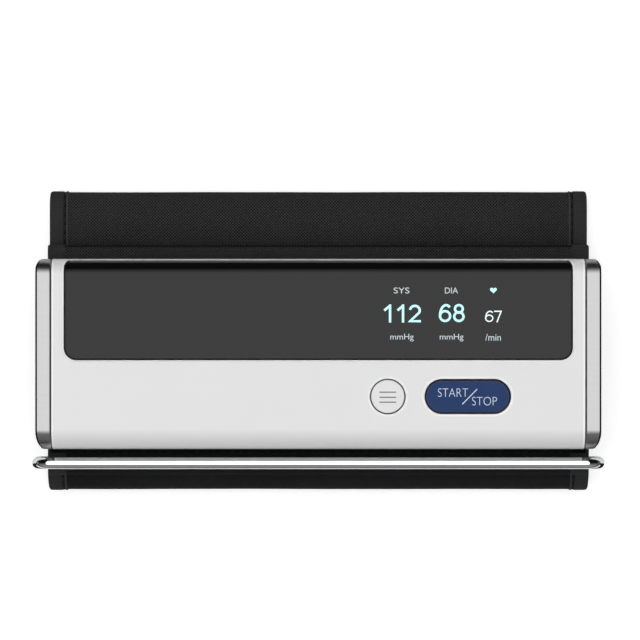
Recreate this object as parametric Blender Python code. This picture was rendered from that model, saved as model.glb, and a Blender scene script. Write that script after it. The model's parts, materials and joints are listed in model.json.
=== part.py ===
"""Upper arm blood pressure monitor with its cuff rolled flat behind it, lying on its back.

+Z is up and out of the display, +X runs along the display and +Y towards the display's edge of
the unit. The origin is the middle of the bounding box on the surface that the cuff lies on.
All lengths are in metres.
"""

import math

import bmesh
import bpy
from mathutils import Matrix, Vector

# Clearances between neighbouring pieces
GAP = 0.0003
BOARD_GAP = 0.0001
# How far a cutting shape runs past the face it opens, and how far a joined piece sinks into its neighbour.
PAST = 0.0010
SINK = 0.0008

# Unit: a slim bar with its display along one long edge
UNIT_HALF_WIDTH = 0.0750
UNIT_TOP_Y = 0.0218
UNIT_BOTTOM_Y = -0.0289
UNIT_BACK_Z = 0.0153
UNIT_FRONT_Z = 0.0350
PARTING_Z = 0.0250
# Each long edge of the unit is a quarter ellipse: its depth along Y and along Z
FRONT_TOP_EDGE = (0.0042, 0.0058)
FRONT_BOTTOM_EDGE = (0.0057, 0.0072)
BACK_BOTTOM_EDGE = (0.0034, 0.0060)
BACK_TOP_EDGE = (0.0026, 0.0060)
SIDE_WALL = 0.0018
FRONT_WALL = 0.0029
BACK_WALL = 0.0017
END_WALL = 0.0018
END_CAP_WIDTH = 0.0041
CAP_ROUNDING = 0.00045
CAP_POCKET_DEPTH = 0.0022
# Rounded corners of the end caps seen from the front, each as (along X, along Y).
CAP_TOP_CORNER = (0.0019, 0.0026)
CAP_BOTTOM_CORNER = (0.0022, 0.0050)
SHELL_HALF_WIDTH = UNIT_HALF_WIDTH - END_CAP_WIDTH - 0.0002
CAVITY_HALF_WIDTH = SHELL_HALF_WIDTH - END_WALL
FLOOR_Z = UNIT_BACK_Z + BACK_WALL
CEILING_Z = UNIT_FRONT_Z - FRONT_WALL

# Display lens, flush with the front and rolled over the top edge
LENS_HALF_WIDTH = 0.0670
LENS_BOTTOM_Y = -0.0047
LENS_TOP_Y = 0.0214
LENS_BOTTOM_RADIUS = 0.0029
LENS_TOP_RADIUS = 0.0020
LENS_THICKNESS = 0.0010
LENS_GAP = 0.0002
LENS_LOW_Z = 0.0315
WINDOW = ((0.0120, -0.0032), (0.0540, 0.0170))
DISPLAY_FRAME_RIM = 0.0011
DISPLAY_FRAME_DEPTH = 0.0016
DISPLAY_FRAME_FLOOR = 0.0006
FLEX_SLOT = ((0.0260, 0.0000), (0.0400, 0.0120))
SMALL_ROUNDING = 0.0002

# Buttons
BUTTON_Y = -0.01475
MENU_X = 0.0184
MENU_RADIUS = 0.00455
MENU_GAP = 0.00032
START_X = 0.0396
START_HALF_LENGTH = 0.0112
START_HALF_HEIGHT = 0.0044
START_GAP = 0.00025
MENU_TOP_Z = UNIT_FRONT_Z
START_TOP_Z = UNIT_FRONT_Z + 0.0003
BUTTON_TRAVEL = 0.0005
FLANGE_THICKNESS = 0.0008
FLANGE_MARGIN = 0.0012
MENU_ROUNDING = 0.00025
START_ROUNDING = 0.0004

# Electronics
BOARD_LOW = (0.0040, -0.0255, 0.0254)
BOARD_HIGH = (0.0615, 0.0185, 0.0270)
BATTERY_LOW = (0.0080, -0.0220, 0.0175)
BATTERY_HIGH = (0.0570, 0.0120, 0.0245)
SWITCH_HALF = 0.0030
SWITCH_BODY_HEIGHT = 0.0028
SWITCH_KNOB_RADIUS = 0.0015
SENSOR_LOW = (0.0060, -0.0165, BOARD_HIGH[2] + BOARD_GAP)
SENSOR_HIGH = (0.0130, -0.0095, 0.0300)
PORT_Y = -0.0040
PORT_Z = 0.0224
PORT_HALF_WIDTH = 0.0045
PORT_HALF_HEIGHT = 0.0016
PORT_INNER_X = 0.0600
PORT_LENGTH = 0.0100
PORT_WALL = 0.0003
PORT_FLOOR = 0.0015
TONGUE_HALF = (0.0032, 0.00035)
TONGUE_SETBACK = 0.0012
BOARD_SLOT = ((0.0280, 0.0140), (0.0380, 0.0195))
SENSOR_BARB_Z = 0.0285
BATTERY_ROUNDING = 0.0010

# Air pump, lying along X
PUMP_Y = 0.0080
PUMP_Z = 0.0244
MOTOR_RADIUS = 0.0066
MOTOR_BACK_X = -0.0550
MOTOR_FRONT_X = -0.0320
PUMP_HEAD_END_X = -0.0170
PUMP_HEAD_HALF = 0.0066
CRANK_ROOM_RADIUS = 0.0052
SHAFT_RADIUS = 0.0010
SHAFT_ROOM = 0.0013
ECCENTRIC_RADIUS = 0.0030
ECCENTRIC_OFFSET = 0.0010
CRADLE_X = (-0.0520, -0.0370)
CRADLE_HALF_WIDTH = 0.0075
CRADLE_BELOW_AXIS = 0.0020
MOTOR_ROUNDING = 0.0005
SHAFT_IN_MOTOR = 0.0100
SHAFT_LENGTH = 0.0145
SHAFT_BORE_DEPTH = 0.0120
DISC_START = 0.0015
DISC_LENGTH = 0.0025
CRANK_ROOM_LENGTH = 0.0065
PUMP_HEAD_CORNER = 0.0020
BLOCK_ROUNDING = 0.0004

# Release valve, standing on the floor of the unit
VALVE_X = -0.0040
VALVE_Y = 0.0100
VALVE_HALF = 0.0050
VALVE_TOP_Z = 0.0280
PLUNGER_RADIUS = 0.0015
PLUNGER_ROOM = 0.0019
PLUNGER_HEAD_RADIUS = 0.0029
PLUNGER_HEAD_Z = 0.0302
PLUNGER_TOP_Z = 0.0310
PLUNGER_END_Z = 0.0212
VALVE_BORE_END_Z = 0.0195
VALVE_BARB_Z = 0.0200
SPRING_RADIUS = 0.0023
SPRING_WIRE = 0.00022
SPRING_TURNS = 3

# Air manifold and its tubes
MANIFOLD_X = -0.0255
MANIFOLD_Y = -0.0130
MANIFOLD_Z = 0.0220
MANIFOLD_HALF = (0.0060, 0.0030, 0.0030)
BARB_RADIUS = 0.0012
BARB_LENGTH = 0.0025
BARB_ROOT = 0.0010
PUMP_BARB_X = -0.0210
PUMP_BARB_Z = 0.0230
TUBE_RADIUS = 0.0015
NOZZLE_RADIUS = 0.0025
NOZZLE_ROOM = 0.0028
NOZZLE_BORE = 0.0012
NOZZLE_END_Z = 0.0121

# Screws
SCREW_RADIUS = 0.0011
SCREW_ROOM = 0.0014
SCREW_HEAD_RADIUS = 0.0024
CASE_SCREW_X = 0.0645
CASE_SCREW_Y = (-0.0210, 0.0130)
MOUNT_SCREW_X = 0.0610
MOUNT_SCREW_Y = (-0.0100, 0.0040)
BOSS_RADIUS = 0.0026
FRONT_BOSS_LOW_Z = 0.0198
FRONT_BOSS_HOLE_DEPTH = 0.0075
COLLAR_RADIUS = 0.0032
COLLAR_HEIGHT = 0.0024
HEAD_ROOM_DEPTH = 0.0022
CASE_HEAD_Z = (UNIT_BACK_Z + 0.0004, UNIT_BACK_Z + 0.0019)
CASE_TIP_Z = 0.0260
MOUNT_BOSS_HEIGHT = 0.0032
MOUNT_HOLE_DEPTH = 0.0042
MOUNT_TIP_Z = 0.0190
DRIVE_SLOT = (0.0012, 0.00025, 0.0003)

# Cuff: one band, rolled flat into five turns under a padded pocket that carries the unit
CUFF_HALF_WIDTH = 0.0732
BINDING_WIDTH = 0.0050
BAND_HALF_WIDTH = CUFF_HALF_WIDTH - BINDING_WIDTH - GAP
CUFF_BOTTOM_Y = -0.0408
CUFF_TOP_Y = 0.0408
BAND_THICKNESS = 0.00145
BINDING_THICKNESS = 0.0015
TURN_PITCH = 0.0016
FIRST_TURN_Z = 0.00075
POCKET_TOP_Y = 0.0259
POCKET_BOTTOM_Y = -0.0265
POCKET_BACK_Z = 0.0081
POCKET_FRONT_Z = 0.0150
POCKET_ROOM = ((-0.0660, -0.0240, 0.0093), (0.0660, 0.0232, 0.0138))
BAND_END_Y = 0.0080
PLATE_Z = (0.0123, 0.0135)
BLADDER_LOW = (-0.0600, -0.0220, 0.0095)
BLADDER_HIGH = (0.0600, 0.0210, 0.0114)
BLADDER_CORNER = 0.0060
BLADDER_ROUNDING = 0.0006
POCKET_BACK_CORNER = 0.0020
POCKET_EDGE_CORNER = 0.0010
INNER_FOLD_SHIFT = 0.0004
HOOK_TAB_END_Y = 0.0330
HOOK_TAB_HALF = 0.0006
PLATE_MARGIN = 0.0010
PLATE_CORNER = 0.0030
MOUNT_HEAD_Z = (PLATE_Z[0] - 0.0008, PLATE_Z[0] - 0.0001)
FAR_X = 0.0900

# Slot ring, held by its inner rod in a sewn sleeve
RING_Y = -0.03275
RING_AXIS_Z = 0.0179
RING_PITCH = 0.0087
ROD_RADIUS = 0.00155
RING_HALF_LENGTH = 0.0768
RING_CORNER = 0.0026
SLEEVE_Y = -0.03295
SLEEVE_HALF_WIDTH = 0.0040
SLEEVE_HALF_HEIGHT = 0.00255
SLEEVE_HALF_LENGTH = 0.0722
SLEEVE_BORE = 0.0019

AXES = {"X": Vector((1, 0, 0)), "Y": Vector((0, 1, 0)), "Z": Vector((0, 0, 1))}


# Helpers


def clear_scene():
    for old in list(bpy.data.objects):
        bpy.data.objects.remove(old, do_unlink=True)


def make_material(name, colour, roughness, metallic=0.0):
    made = bpy.data.materials.new(name)
    made.use_nodes = True
    shader = made.node_tree.nodes["Principled BSDF"]
    shader.inputs["Base Color"].default_value = (*colour, 1.0)
    shader.inputs["Roughness"].default_value = roughness
    shader.inputs["Metallic"].default_value = metallic
    made.diffuse_color = (*colour, 1.0)
    return made


def add_object(name, shape, material=None):
    """Adds an object from a bmesh, and shades it smooth where its faces nearly line up."""
    mesh = bpy.data.meshes.new(name)
    bmesh.ops.recalc_face_normals(shape, faces=shape.faces)
    shape.to_mesh(mesh)
    shape.free()
    mesh.shade_smooth()
    mesh.set_sharp_from_angle(angle=math.radians(35))
    made = bpy.data.objects.new(name, mesh)
    bpy.context.scene.collection.objects.link(made)
    if material:
        mesh.materials.append(material)
    return made


def arc(centre, radii, start_deg, end_deg, steps):
    """Points of an elliptical arc, ends included."""
    points = []
    for step in range(steps + 1):
        angle = math.radians(start_deg + (end_deg - start_deg) * step / steps)
        points.append((centre[0] + radii[0] * math.cos(angle), centre[1] + radii[1] * math.sin(angle)))
    return points


def rounded_rectangle(low, high, low_radius, high_radius, steps=6):
    """Outline with one corner radius at its low second coordinate and one at its high one."""
    corners = (
        (high[0] - high_radius, high[1] - high_radius, high_radius, 0),
        (low[0] + high_radius, high[1] - high_radius, high_radius, 90),
        (low[0] + low_radius, low[1] + low_radius, low_radius, 180),
        (high[0] - low_radius, low[1] + low_radius, low_radius, 270),
    )
    points = []
    for first, second, radius, start in corners:
        points += arc((first, second), (radius, radius), start, start + 90, steps)
    return points


def place(axis, along, point):
    """A point of an outline across an axis, as a point in space."""
    if axis == "X":
        return (along, point[0], point[1])
    if axis == "Y":
        return (point[0], along, point[1])
    return (point[0], point[1], along)


def prism(name, outline, axis, low, high, material=None):
    """An outline extruded along an axis, from low to high."""
    shape = bmesh.new()
    ring = [shape.verts.new(place(axis, low, point)) for point in outline]
    base = shape.faces.new(ring)
    grown = bmesh.ops.extrude_face_region(shape, geom=[base])
    moved = [item for item in grown["geom"] if isinstance(item, bmesh.types.BMVert)]
    bmesh.ops.translate(shape, verts=moved, vec=AXES[axis] * (high - low))
    return add_object(name, shape, material)


def block(name, low, high, material=None, bevel=0.0):
    outline = [(low[0], low[1]), (high[0], low[1]), (high[0], high[1]), (low[0], high[1])]
    made = prism(name, outline, "Z", low[2], high[2], material)
    if bevel:
        soften(made, bevel)
    return made


def cylinder(name, start, axis, radius, length, material=None, segments=20):
    """A cylinder from its start point along an axis."""
    shape = bmesh.new()
    turn = Vector((0, 0, 1)).rotation_difference(AXES[axis]).to_matrix().to_4x4()
    middle = Vector(start) + AXES[axis] * (length / 2)
    bmesh.ops.create_cone(
        shape,
        cap_ends=True,
        segments=segments,
        radius1=radius,
        radius2=radius,
        depth=abs(length),
        matrix=Matrix.Translation(middle) @ turn,
    )
    return add_object(name, shape, material)


def soften(target, width, segments=2):
    edge = target.modifiers.new("soft_edges", "BEVEL")
    edge.width = width
    edge.segments = segments
    edge.limit_method = "ANGLE"
    edge.angle_limit = math.radians(40)


def combine(target, others, operation):
    """Booleans helper objects into a target, and keeps the helpers out of the model."""
    for other in others:
        step = target.modifiers.new(other.name, "BOOLEAN")
        step.operation = operation
        step.solver = "EXACT"
        step.object = other
        other.hide_render = True
        other.display_type = "WIRE"
    return target


def cut(target, *others):
    return combine(target, others, "DIFFERENCE")


def join(target, *others):
    return combine(target, others, "UNION")


def set_origin(target, point):
    """Moves an object's origin to its joint's axis and leaves its shape where it is."""
    target.data.transform(Matrix.Translation(-Vector(point)))
    target.location = point


def tube(name, points, radius, material, cyclic=False, sides=1):
    """A round tube through the given points, as a curve with filled ends."""
    curve = bpy.data.curves.new(name, "CURVE")
    curve.dimensions = "3D"
    spline = curve.splines.new("POLY")
    spline.points.add(len(points) - 1)
    for held, point in zip(spline.points, points):
        held.co = (*point, 1.0)
    spline.use_cyclic_u = cyclic
    curve.bevel_depth = radius
    curve.bevel_resolution = sides
    curve.use_fill_caps = not cyclic
    curve.materials.append(material)
    made = bpy.data.objects.new(name, curve)
    bpy.context.scene.collection.objects.link(made)
    return made


def smooth_route(points, steps=5):
    """Points of a Catmull-Rom curve through a route's own points."""
    padded = [2 * Vector(points[0]) - Vector(points[1]), *map(Vector, points)]
    padded.append(2 * Vector(points[-1]) - Vector(points[-2]))
    route = []
    for before, here, after, beyond in zip(padded, padded[1:], padded[2:], padded[3:]):
        for step in range(steps):
            t = step / steps
            bend = 2 * before - 5 * here + 4 * after - beyond
            twist = -before + 3 * here - 3 * after + beyond
            route.append(0.5 * (2 * here + (after - before) * t + bend * t * t + twist * t**3))
    route.append(padded[-2])
    return route


# Unit casing


def unit_section(side=0.0, front=0.0, back=0.0, steps=8):
    """The unit's outline across X as (y, z) points, with each wall moved inwards."""
    corners = (
        (UNIT_TOP_Y - FRONT_TOP_EDGE[0], UNIT_FRONT_Z - FRONT_TOP_EDGE[1], FRONT_TOP_EDGE, front, 0),
        (
            UNIT_BOTTOM_Y + FRONT_BOTTOM_EDGE[0],
            UNIT_FRONT_Z - FRONT_BOTTOM_EDGE[1],
            FRONT_BOTTOM_EDGE,
            front,
            90,
        ),
        (
            UNIT_BOTTOM_Y + BACK_BOTTOM_EDGE[0],
            UNIT_BACK_Z + BACK_BOTTOM_EDGE[1],
            BACK_BOTTOM_EDGE,
            back,
            180,
        ),
        (UNIT_TOP_Y - BACK_TOP_EDGE[0], UNIT_BACK_Z + BACK_TOP_EDGE[1], BACK_TOP_EDGE, back, 270),
    )
    points = []
    for y, z, size, depth, start in corners:
        points += arc((y, z), (size[0] - side, size[1] - depth), start, start + 90, steps)
    return points


def shell_body(name, material):
    """The whole casing between its end caps, hollow and closed."""
    body = prism(name, unit_section(), "X", -SHELL_HALF_WIDTH, SHELL_HALF_WIDTH, material)
    room = prism(
        name + "_room",
        unit_section(SIDE_WALL, FRONT_WALL, BACK_WALL),
        "X",
        -CAVITY_HALF_WIDTH,
        CAVITY_HALF_WIDTH,
    )
    return cut(body, room)


def outer_half(name, low_z, high_z):
    reach = UNIT_HALF_WIDTH + 0.01
    return block(name, (-reach, -reach, low_z), (reach, reach, high_z))


def case_screw_places():
    return [(x, y) for x in (-CASE_SCREW_X, CASE_SCREW_X) for y in CASE_SCREW_Y]


def mount_screw_places():
    return [(x, y) for x in (-MOUNT_SCREW_X, MOUNT_SCREW_X) for y in MOUNT_SCREW_Y]


def stadium(centre_x, centre_y, half_length, half_height, steps=10):
    inner = half_length - half_height
    right = arc((centre_x + inner, centre_y), (half_height, half_height), -90, 90, steps)
    left = arc((centre_x - inner, centre_y), (half_height, half_height), 90, 270, steps)
    return right + left


def lens_prism(name, grow, low_z):
    low = (-LENS_HALF_WIDTH - grow, LENS_BOTTOM_Y - grow)
    high = (LENS_HALF_WIDTH + grow, LENS_TOP_Y + grow)
    outline = rounded_rectangle(low, high, LENS_BOTTOM_RADIUS + grow, LENS_TOP_RADIUS + grow)
    return prism(name, outline, "Z", low_z, UNIT_FRONT_Z + PAST)


def make_front_shell(material):
    shell = shell_body("front_shell", material)
    cut(shell, outer_half("below_parting", UNIT_BACK_Z - PAST, PARTING_Z + GAP / 2))
    depth = LENS_THICKNESS + LENS_GAP
    core = prism("lens_seat_core", unit_section(depth, depth, depth), "X", -FAR_X, FAR_X)
    seat = cut(lens_prism("lens_seat", GAP / 2, LENS_LOW_Z - LENS_GAP), core)
    low_z = CEILING_Z - PAST
    high_z = UNIT_FRONT_Z + PAST
    window = block("display_window", (*WINDOW[0], low_z), (*WINDOW[1], high_z))
    menu_start = (MENU_X, BUTTON_Y, low_z)
    menu_hole = cylinder("menu_hole", menu_start, "Z", MENU_RADIUS + MENU_GAP, high_z - low_z, segments=48)
    outline = stadium(START_X, BUTTON_Y, START_HALF_LENGTH + START_GAP, START_HALF_HEIGHT + START_GAP)
    start_hole = prism("start_hole", outline, "Z", low_z, high_z)
    cut(shell, seat, window, menu_hole, start_hole)
    for number, (x, y) in enumerate(case_screw_places(), 1):
        height = CEILING_Z + SINK - FRONT_BOSS_LOW_Z
        boss = cylinder(f"front_boss_{number}", (x, y, FRONT_BOSS_LOW_Z), "Z", BOSS_RADIUS, height)
        join(shell, boss)
        drill(shell, f"front_boss_hole_{number}", x, y, FRONT_BOSS_LOW_Z, FRONT_BOSS_HOLE_DEPTH)
    return shell


def drill(target, name, x, y, face_z, depth, radius=SCREW_ROOM, segments=16):
    """A hole along Z that starts at a face and goes up into the target."""
    hole = cylinder(name, (x, y, face_z - PAST), "Z", radius, depth + PAST, segments=segments)
    return cut(target, hole)


def make_rear_shell(material):
    shell = shell_body("rear_shell", material)
    cut(shell, outer_half("above_parting", PARTING_Z - GAP / 2, UNIT_FRONT_Z + PAST))
    boss_z = FLOOR_Z - SINK
    for number, (x, y) in enumerate(case_screw_places(), 1):
        join(shell, cylinder(f"rear_collar_{number}", (x, y, boss_z), "Z", COLLAR_RADIUS, COLLAR_HEIGHT + SINK))
        head_radius = SCREW_HEAD_RADIUS + GAP
        drill(shell, f"rear_head_room_{number}", x, y, UNIT_BACK_Z, HEAD_ROOM_DEPTH, head_radius, 20)
        drill(shell, f"rear_hole_{number}", x, y, UNIT_BACK_Z, FLOOR_Z + COLLAR_HEIGHT + PAST - UNIT_BACK_Z)
    for number, (x, y) in enumerate(mount_screw_places(), 1):
        height = MOUNT_BOSS_HEIGHT + SINK
        join(shell, cylinder(f"mount_boss_{number}", (x, y, boss_z), "Z", BOSS_RADIUS, height))
        drill(shell, f"mount_hole_{number}", x, y, UNIT_BACK_Z, MOUNT_HOLE_DEPTH)
    drill(shell, "rear_nozzle_hole", MANIFOLD_X, MANIFOLD_Y, UNIT_BACK_Z, BACK_WALL + PAST, NOZZLE_ROOM, 20)
    return cut(shell, port_opening("rear_port_opening", CAVITY_HALF_WIDTH - PAST))


def port_opening(name, low_x):
    outline = stadium(PORT_Y, PORT_Z, PORT_HALF_WIDTH + GAP, PORT_HALF_HEIGHT + GAP, steps=6)
    return prism(name, outline, "X", low_x, UNIT_HALF_WIDTH + PAST)


def cap_plan(side):
    """The end cap's outline from the front, with its two outer corners rounded, as (x, y) points."""
    inner = UNIT_HALF_WIDTH - END_CAP_WIDTH - PAST
    bottom = (UNIT_HALF_WIDTH - CAP_BOTTOM_CORNER[0], UNIT_BOTTOM_Y + CAP_BOTTOM_CORNER[1])
    top = (UNIT_HALF_WIDTH - CAP_TOP_CORNER[0], UNIT_TOP_Y - CAP_TOP_CORNER[1])
    points = [(inner, UNIT_BOTTOM_Y - PAST), (bottom[0], UNIT_BOTTOM_Y - PAST)]
    points += arc(bottom, CAP_BOTTOM_CORNER, 270, 360, 6)
    points += arc(top, CAP_TOP_CORNER, 0, 90, 6)
    points += [(top[0], UNIT_TOP_Y + PAST), (inner, UNIT_TOP_Y + PAST)]
    return [(side * x, y) for x, y in points]


def make_end_cap(name, side, material):
    inner = side * (UNIT_HALF_WIDTH - END_CAP_WIDTH)
    ends = sorted((inner, side * UNIT_HALF_WIDTH))
    cap = prism(name, unit_section(), "X", *ends, material)
    plan = prism(name + "_plan", cap_plan(side), "Z", UNIT_BACK_Z - PAST, UNIT_FRONT_Z + PAST)
    combine(cap, [plan], "INTERSECT")
    soften(cap, CAP_ROUNDING, 2)
    pocket_ends = sorted((inner - side * PAST, inner + side * CAP_POCKET_DEPTH))
    walls = unit_section(SIDE_WALL, FRONT_WALL, BACK_WALL)
    cut(cap, prism(name + "_pocket", walls, "X", *pocket_ends))
    if side > 0:
        cut(cap, port_opening(name + "_port", inner - PAST))
    return cap


def make_lens(material):
    reach = LENS_HALF_WIDTH + PAST
    lens = prism("display_lens", unit_section(), "X", -reach, reach, material)
    core = prism("lens_core", unit_section(LENS_THICKNESS, LENS_THICKNESS, LENS_THICKNESS), "X", -FAR_X, FAR_X)
    window = lens_prism("lens_outline", 0.0, LENS_LOW_Z)
    combine(lens, [window], "INTERSECT")
    return cut(lens, core)


def make_display(material):
    low = (WINDOW[0][0] + GAP, WINDOW[0][1] + GAP, CEILING_Z - SINK)
    high = (WINDOW[1][0] - GAP, WINDOW[1][1] - GAP, UNIT_FRONT_Z - LENS_THICKNESS - GAP)
    return block("display_module", low, high, material, SMALL_ROUNDING)


def make_display_frame(material):
    """The rim that holds the display module against the back of the lens seat."""
    high_z = CEILING_Z - BOARD_GAP
    low_z = high_z - DISPLAY_FRAME_DEPTH
    margin = DISPLAY_FRAME_RIM
    frame = block(
        "display_frame",
        (WINDOW[0][0] - margin, WINDOW[0][1] - margin, low_z),
        (WINDOW[1][0] + margin, WINDOW[1][1] + margin, high_z),
        material,
    )
    room = block(
        "display_frame_room",
        (WINDOW[0][0], WINDOW[0][1], low_z + DISPLAY_FRAME_FLOOR),
        (WINDOW[1][0], WINDOW[1][1], high_z + PAST),
    )
    slot = block("display_flex_slot", (*FLEX_SLOT[0], low_z - PAST), (*FLEX_SLOT[1], low_z + PAST))
    return cut(frame, room, slot)


# Buttons


def make_menu_button(material):
    low_z = CEILING_Z - GAP - FLANGE_THICKNESS
    start = (MENU_X, BUTTON_Y, low_z + GAP)
    cap = cylinder("menu_button", start, "Z", MENU_RADIUS, MENU_TOP_Z - start[2], material, 48)
    wide = MENU_RADIUS + FLANGE_MARGIN
    flange = cylinder("menu_flange", (MENU_X, BUTTON_Y, low_z), "Z", wide, FLANGE_THICKNESS, segments=40)
    soften(cap, MENU_ROUNDING, 2)
    join(cap, flange)
    set_origin(cap, (MENU_X, BUTTON_Y, MENU_TOP_Z))
    return cap


def make_start_button(material):
    low_z = CEILING_Z - GAP - FLANGE_THICKNESS
    outline = stadium(START_X, BUTTON_Y, START_HALF_LENGTH, START_HALF_HEIGHT, 14)
    cap = prism("start_stop_button", outline, "Z", low_z + GAP, START_TOP_Z, material)
    wide = stadium(START_X, BUTTON_Y, START_HALF_LENGTH + FLANGE_MARGIN, START_HALF_HEIGHT + FLANGE_MARGIN)
    flange = prism("start_flange", wide, "Z", low_z, low_z + FLANGE_THICKNESS)
    soften(cap, START_ROUNDING, 3)
    join(cap, flange)
    set_origin(cap, (START_X, BUTTON_Y, START_TOP_Z))
    return cap


def make_switch(name, x, material):
    """A tactile switch whose knob the button meets at the end of its travel."""
    low_z = BOARD_HIGH[2] + BOARD_GAP
    body_top = low_z + SWITCH_BODY_HEIGHT
    knob_top = CEILING_Z - GAP - FLANGE_THICKNESS - BUTTON_TRAVEL - BOARD_GAP
    low = (x - SWITCH_HALF, BUTTON_Y - SWITCH_HALF, low_z)
    high = (x + SWITCH_HALF, BUTTON_Y + SWITCH_HALF, body_top)
    body = block(name, low, high, material, SMALL_ROUNDING)
    knob_low = body_top - SINK
    knob = cylinder(name + "_knob", (x, BUTTON_Y, knob_low), "Z", SWITCH_KNOB_RADIUS, knob_top - knob_low)
    return join(body, knob)


# Electronics


def make_board(material):
    board = block("main_board", BOARD_LOW, BOARD_HIGH, material)
    slot = block("board_slot", (*BOARD_SLOT[0], BOARD_LOW[2] - PAST), (*BOARD_SLOT[1], BOARD_HIGH[2] + PAST))
    return cut(board, slot)


def make_battery(material):
    return block("battery_pack", BATTERY_LOW, BATTERY_HIGH, material, BATTERY_ROUNDING)


def make_sensor(material):
    body = block("pressure_sensor", SENSOR_LOW, SENSOR_HIGH, material, SMALL_ROUNDING)
    y, z = sensor_barb_place()
    barb = make_barb("sensor_barb", (SENSOR_LOW[0] - BARB_LENGTH, y, z), "X")
    return join(body, barb)


def sensor_barb_place():
    return (SENSOR_LOW[1] + SENSOR_HIGH[1]) / 2, SENSOR_BARB_Z


def make_port(material):
    """A charging socket: a stadium tube with a tongue inside it."""
    outer = stadium(PORT_Y, PORT_Z, PORT_HALF_WIDTH, PORT_HALF_HEIGHT, 6)
    inner = stadium(PORT_Y, PORT_Z, PORT_HALF_WIDTH - PORT_WALL, PORT_HALF_HEIGHT - PORT_WALL, 6)
    high_x = PORT_INNER_X + PORT_LENGTH
    body = prism("charging_port", outer, "X", PORT_INNER_X, high_x, material)
    room = prism("port_room", inner, "X", PORT_INNER_X + PORT_FLOOR, high_x + PAST)
    tongue = block(
        "port_tongue",
        (PORT_INNER_X + SINK, PORT_Y - TONGUE_HALF[0], PORT_Z - TONGUE_HALF[1]),
        (high_x - TONGUE_SETBACK, PORT_Y + TONGUE_HALF[0], PORT_Z + TONGUE_HALF[1]),
    )
    return join(cut(body, room), tongue)


# Pump and valve


def make_barb(name, start, axis):
    """A hose barb with a root that sinks into the body it is joined to."""
    return cylinder(name, start, axis, BARB_RADIUS, BARB_LENGTH + BARB_ROOT, segments=16)


def make_motor(material):
    length = MOTOR_FRONT_X - MOTOR_BACK_X
    can = cylinder("pump_motor", (MOTOR_BACK_X, PUMP_Y, PUMP_Z), "X", MOTOR_RADIUS, length, material, 36)
    soften(can, MOTOR_ROUNDING)
    bore_start = (MOTOR_FRONT_X - SHAFT_BORE_DEPTH, PUMP_Y, PUMP_Z)
    bore = cylinder("motor_bore", bore_start, "X", SHAFT_ROOM, SHAFT_BORE_DEPTH + PAST, segments=20)
    return cut(can, bore)


def make_crank(material):
    """The motor shaft with the eccentric that works the pump's diaphragm."""
    start = (MOTOR_FRONT_X - SHAFT_IN_MOTOR, PUMP_Y, PUMP_Z)
    shaft = cylinder("pump_crank", start, "X", SHAFT_RADIUS, SHAFT_LENGTH, material, 16)
    disc_start = (MOTOR_FRONT_X + DISC_START, PUMP_Y, PUMP_Z + ECCENTRIC_OFFSET)
    disc = cylinder("crank_disc", disc_start, "X", ECCENTRIC_RADIUS, DISC_LENGTH)
    join(shaft, disc)
    set_origin(shaft, (MOTOR_FRONT_X, PUMP_Y, PUMP_Z))
    return shaft


def make_pump_head(material):
    start = MOTOR_FRONT_X + GAP
    low = (PUMP_Y - PUMP_HEAD_HALF, PUMP_Z - PUMP_HEAD_HALF)
    high = (PUMP_Y + PUMP_HEAD_HALF, PUMP_Z + PUMP_HEAD_HALF)
    outline = rounded_rectangle(low, high, PUMP_HEAD_CORNER, PUMP_HEAD_CORNER)
    head = prism("pump_head", outline, "X", start, PUMP_HEAD_END_X, material)
    room_start = (start - PAST, PUMP_Y, PUMP_Z)
    room = cylinder("crank_room", room_start, "X", CRANK_ROOM_RADIUS, CRANK_ROOM_LENGTH + PAST)
    barb = make_barb("pump_barb", (PUMP_BARB_X, PUMP_Y - PUMP_HEAD_HALF - BARB_LENGTH, PUMP_BARB_Z), "Y")
    return join(cut(head, room), barb)


def make_cradle(material):
    low = (CRADLE_X[0], PUMP_Y - CRADLE_HALF_WIDTH, FLOOR_Z + BOARD_GAP)
    high = (CRADLE_X[1], PUMP_Y + CRADLE_HALF_WIDTH, PUMP_Z - CRADLE_BELOW_AXIS)
    cradle = block("pump_cradle", low, high, material, BLOCK_ROUNDING)
    start = (CRADLE_X[0] - PAST, PUMP_Y, PUMP_Z)
    length = CRADLE_X[1] - CRADLE_X[0] + 2 * PAST
    room = cylinder("cradle_room", start, "X", MOTOR_RADIUS + BOARD_GAP, length, segments=36)
    return cut(cradle, room)


def make_valve(material):
    low = (VALVE_X - VALVE_HALF, VALVE_Y - VALVE_HALF, FLOOR_Z + BOARD_GAP)
    high = (VALVE_X + VALVE_HALF, VALVE_Y + VALVE_HALF, VALVE_TOP_Z)
    body = block("valve_body", low, high, material, BLOCK_ROUNDING)
    depth = VALVE_TOP_Z - VALVE_BORE_END_Z + PAST
    bore = cylinder("valve_bore", (VALVE_X, VALVE_Y, VALVE_BORE_END_Z), "Z", PLUNGER_ROOM, depth, segments=20)
    y, z = valve_barb_place()
    barb = make_barb("valve_barb", (VALVE_X, y, z), "Y")
    return join(cut(body, bore), barb)


def valve_barb_place():
    return VALVE_Y - VALVE_HALF - BARB_LENGTH, VALVE_BARB_Z


def make_plunger(material):
    length = PLUNGER_TOP_Z - PLUNGER_END_Z
    shaft = cylinder("valve_plunger", (VALVE_X, VALVE_Y, PLUNGER_END_Z), "Z", PLUNGER_RADIUS, length, material)
    head_height = PLUNGER_TOP_Z - PLUNGER_HEAD_Z - BOARD_GAP
    head = cylinder("plunger_head", (VALVE_X, VALVE_Y, PLUNGER_HEAD_Z), "Z", PLUNGER_HEAD_RADIUS, head_height)
    join(shaft, head)
    set_origin(shaft, (VALVE_X, VALVE_Y, VALVE_TOP_Z))
    return shaft


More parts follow.
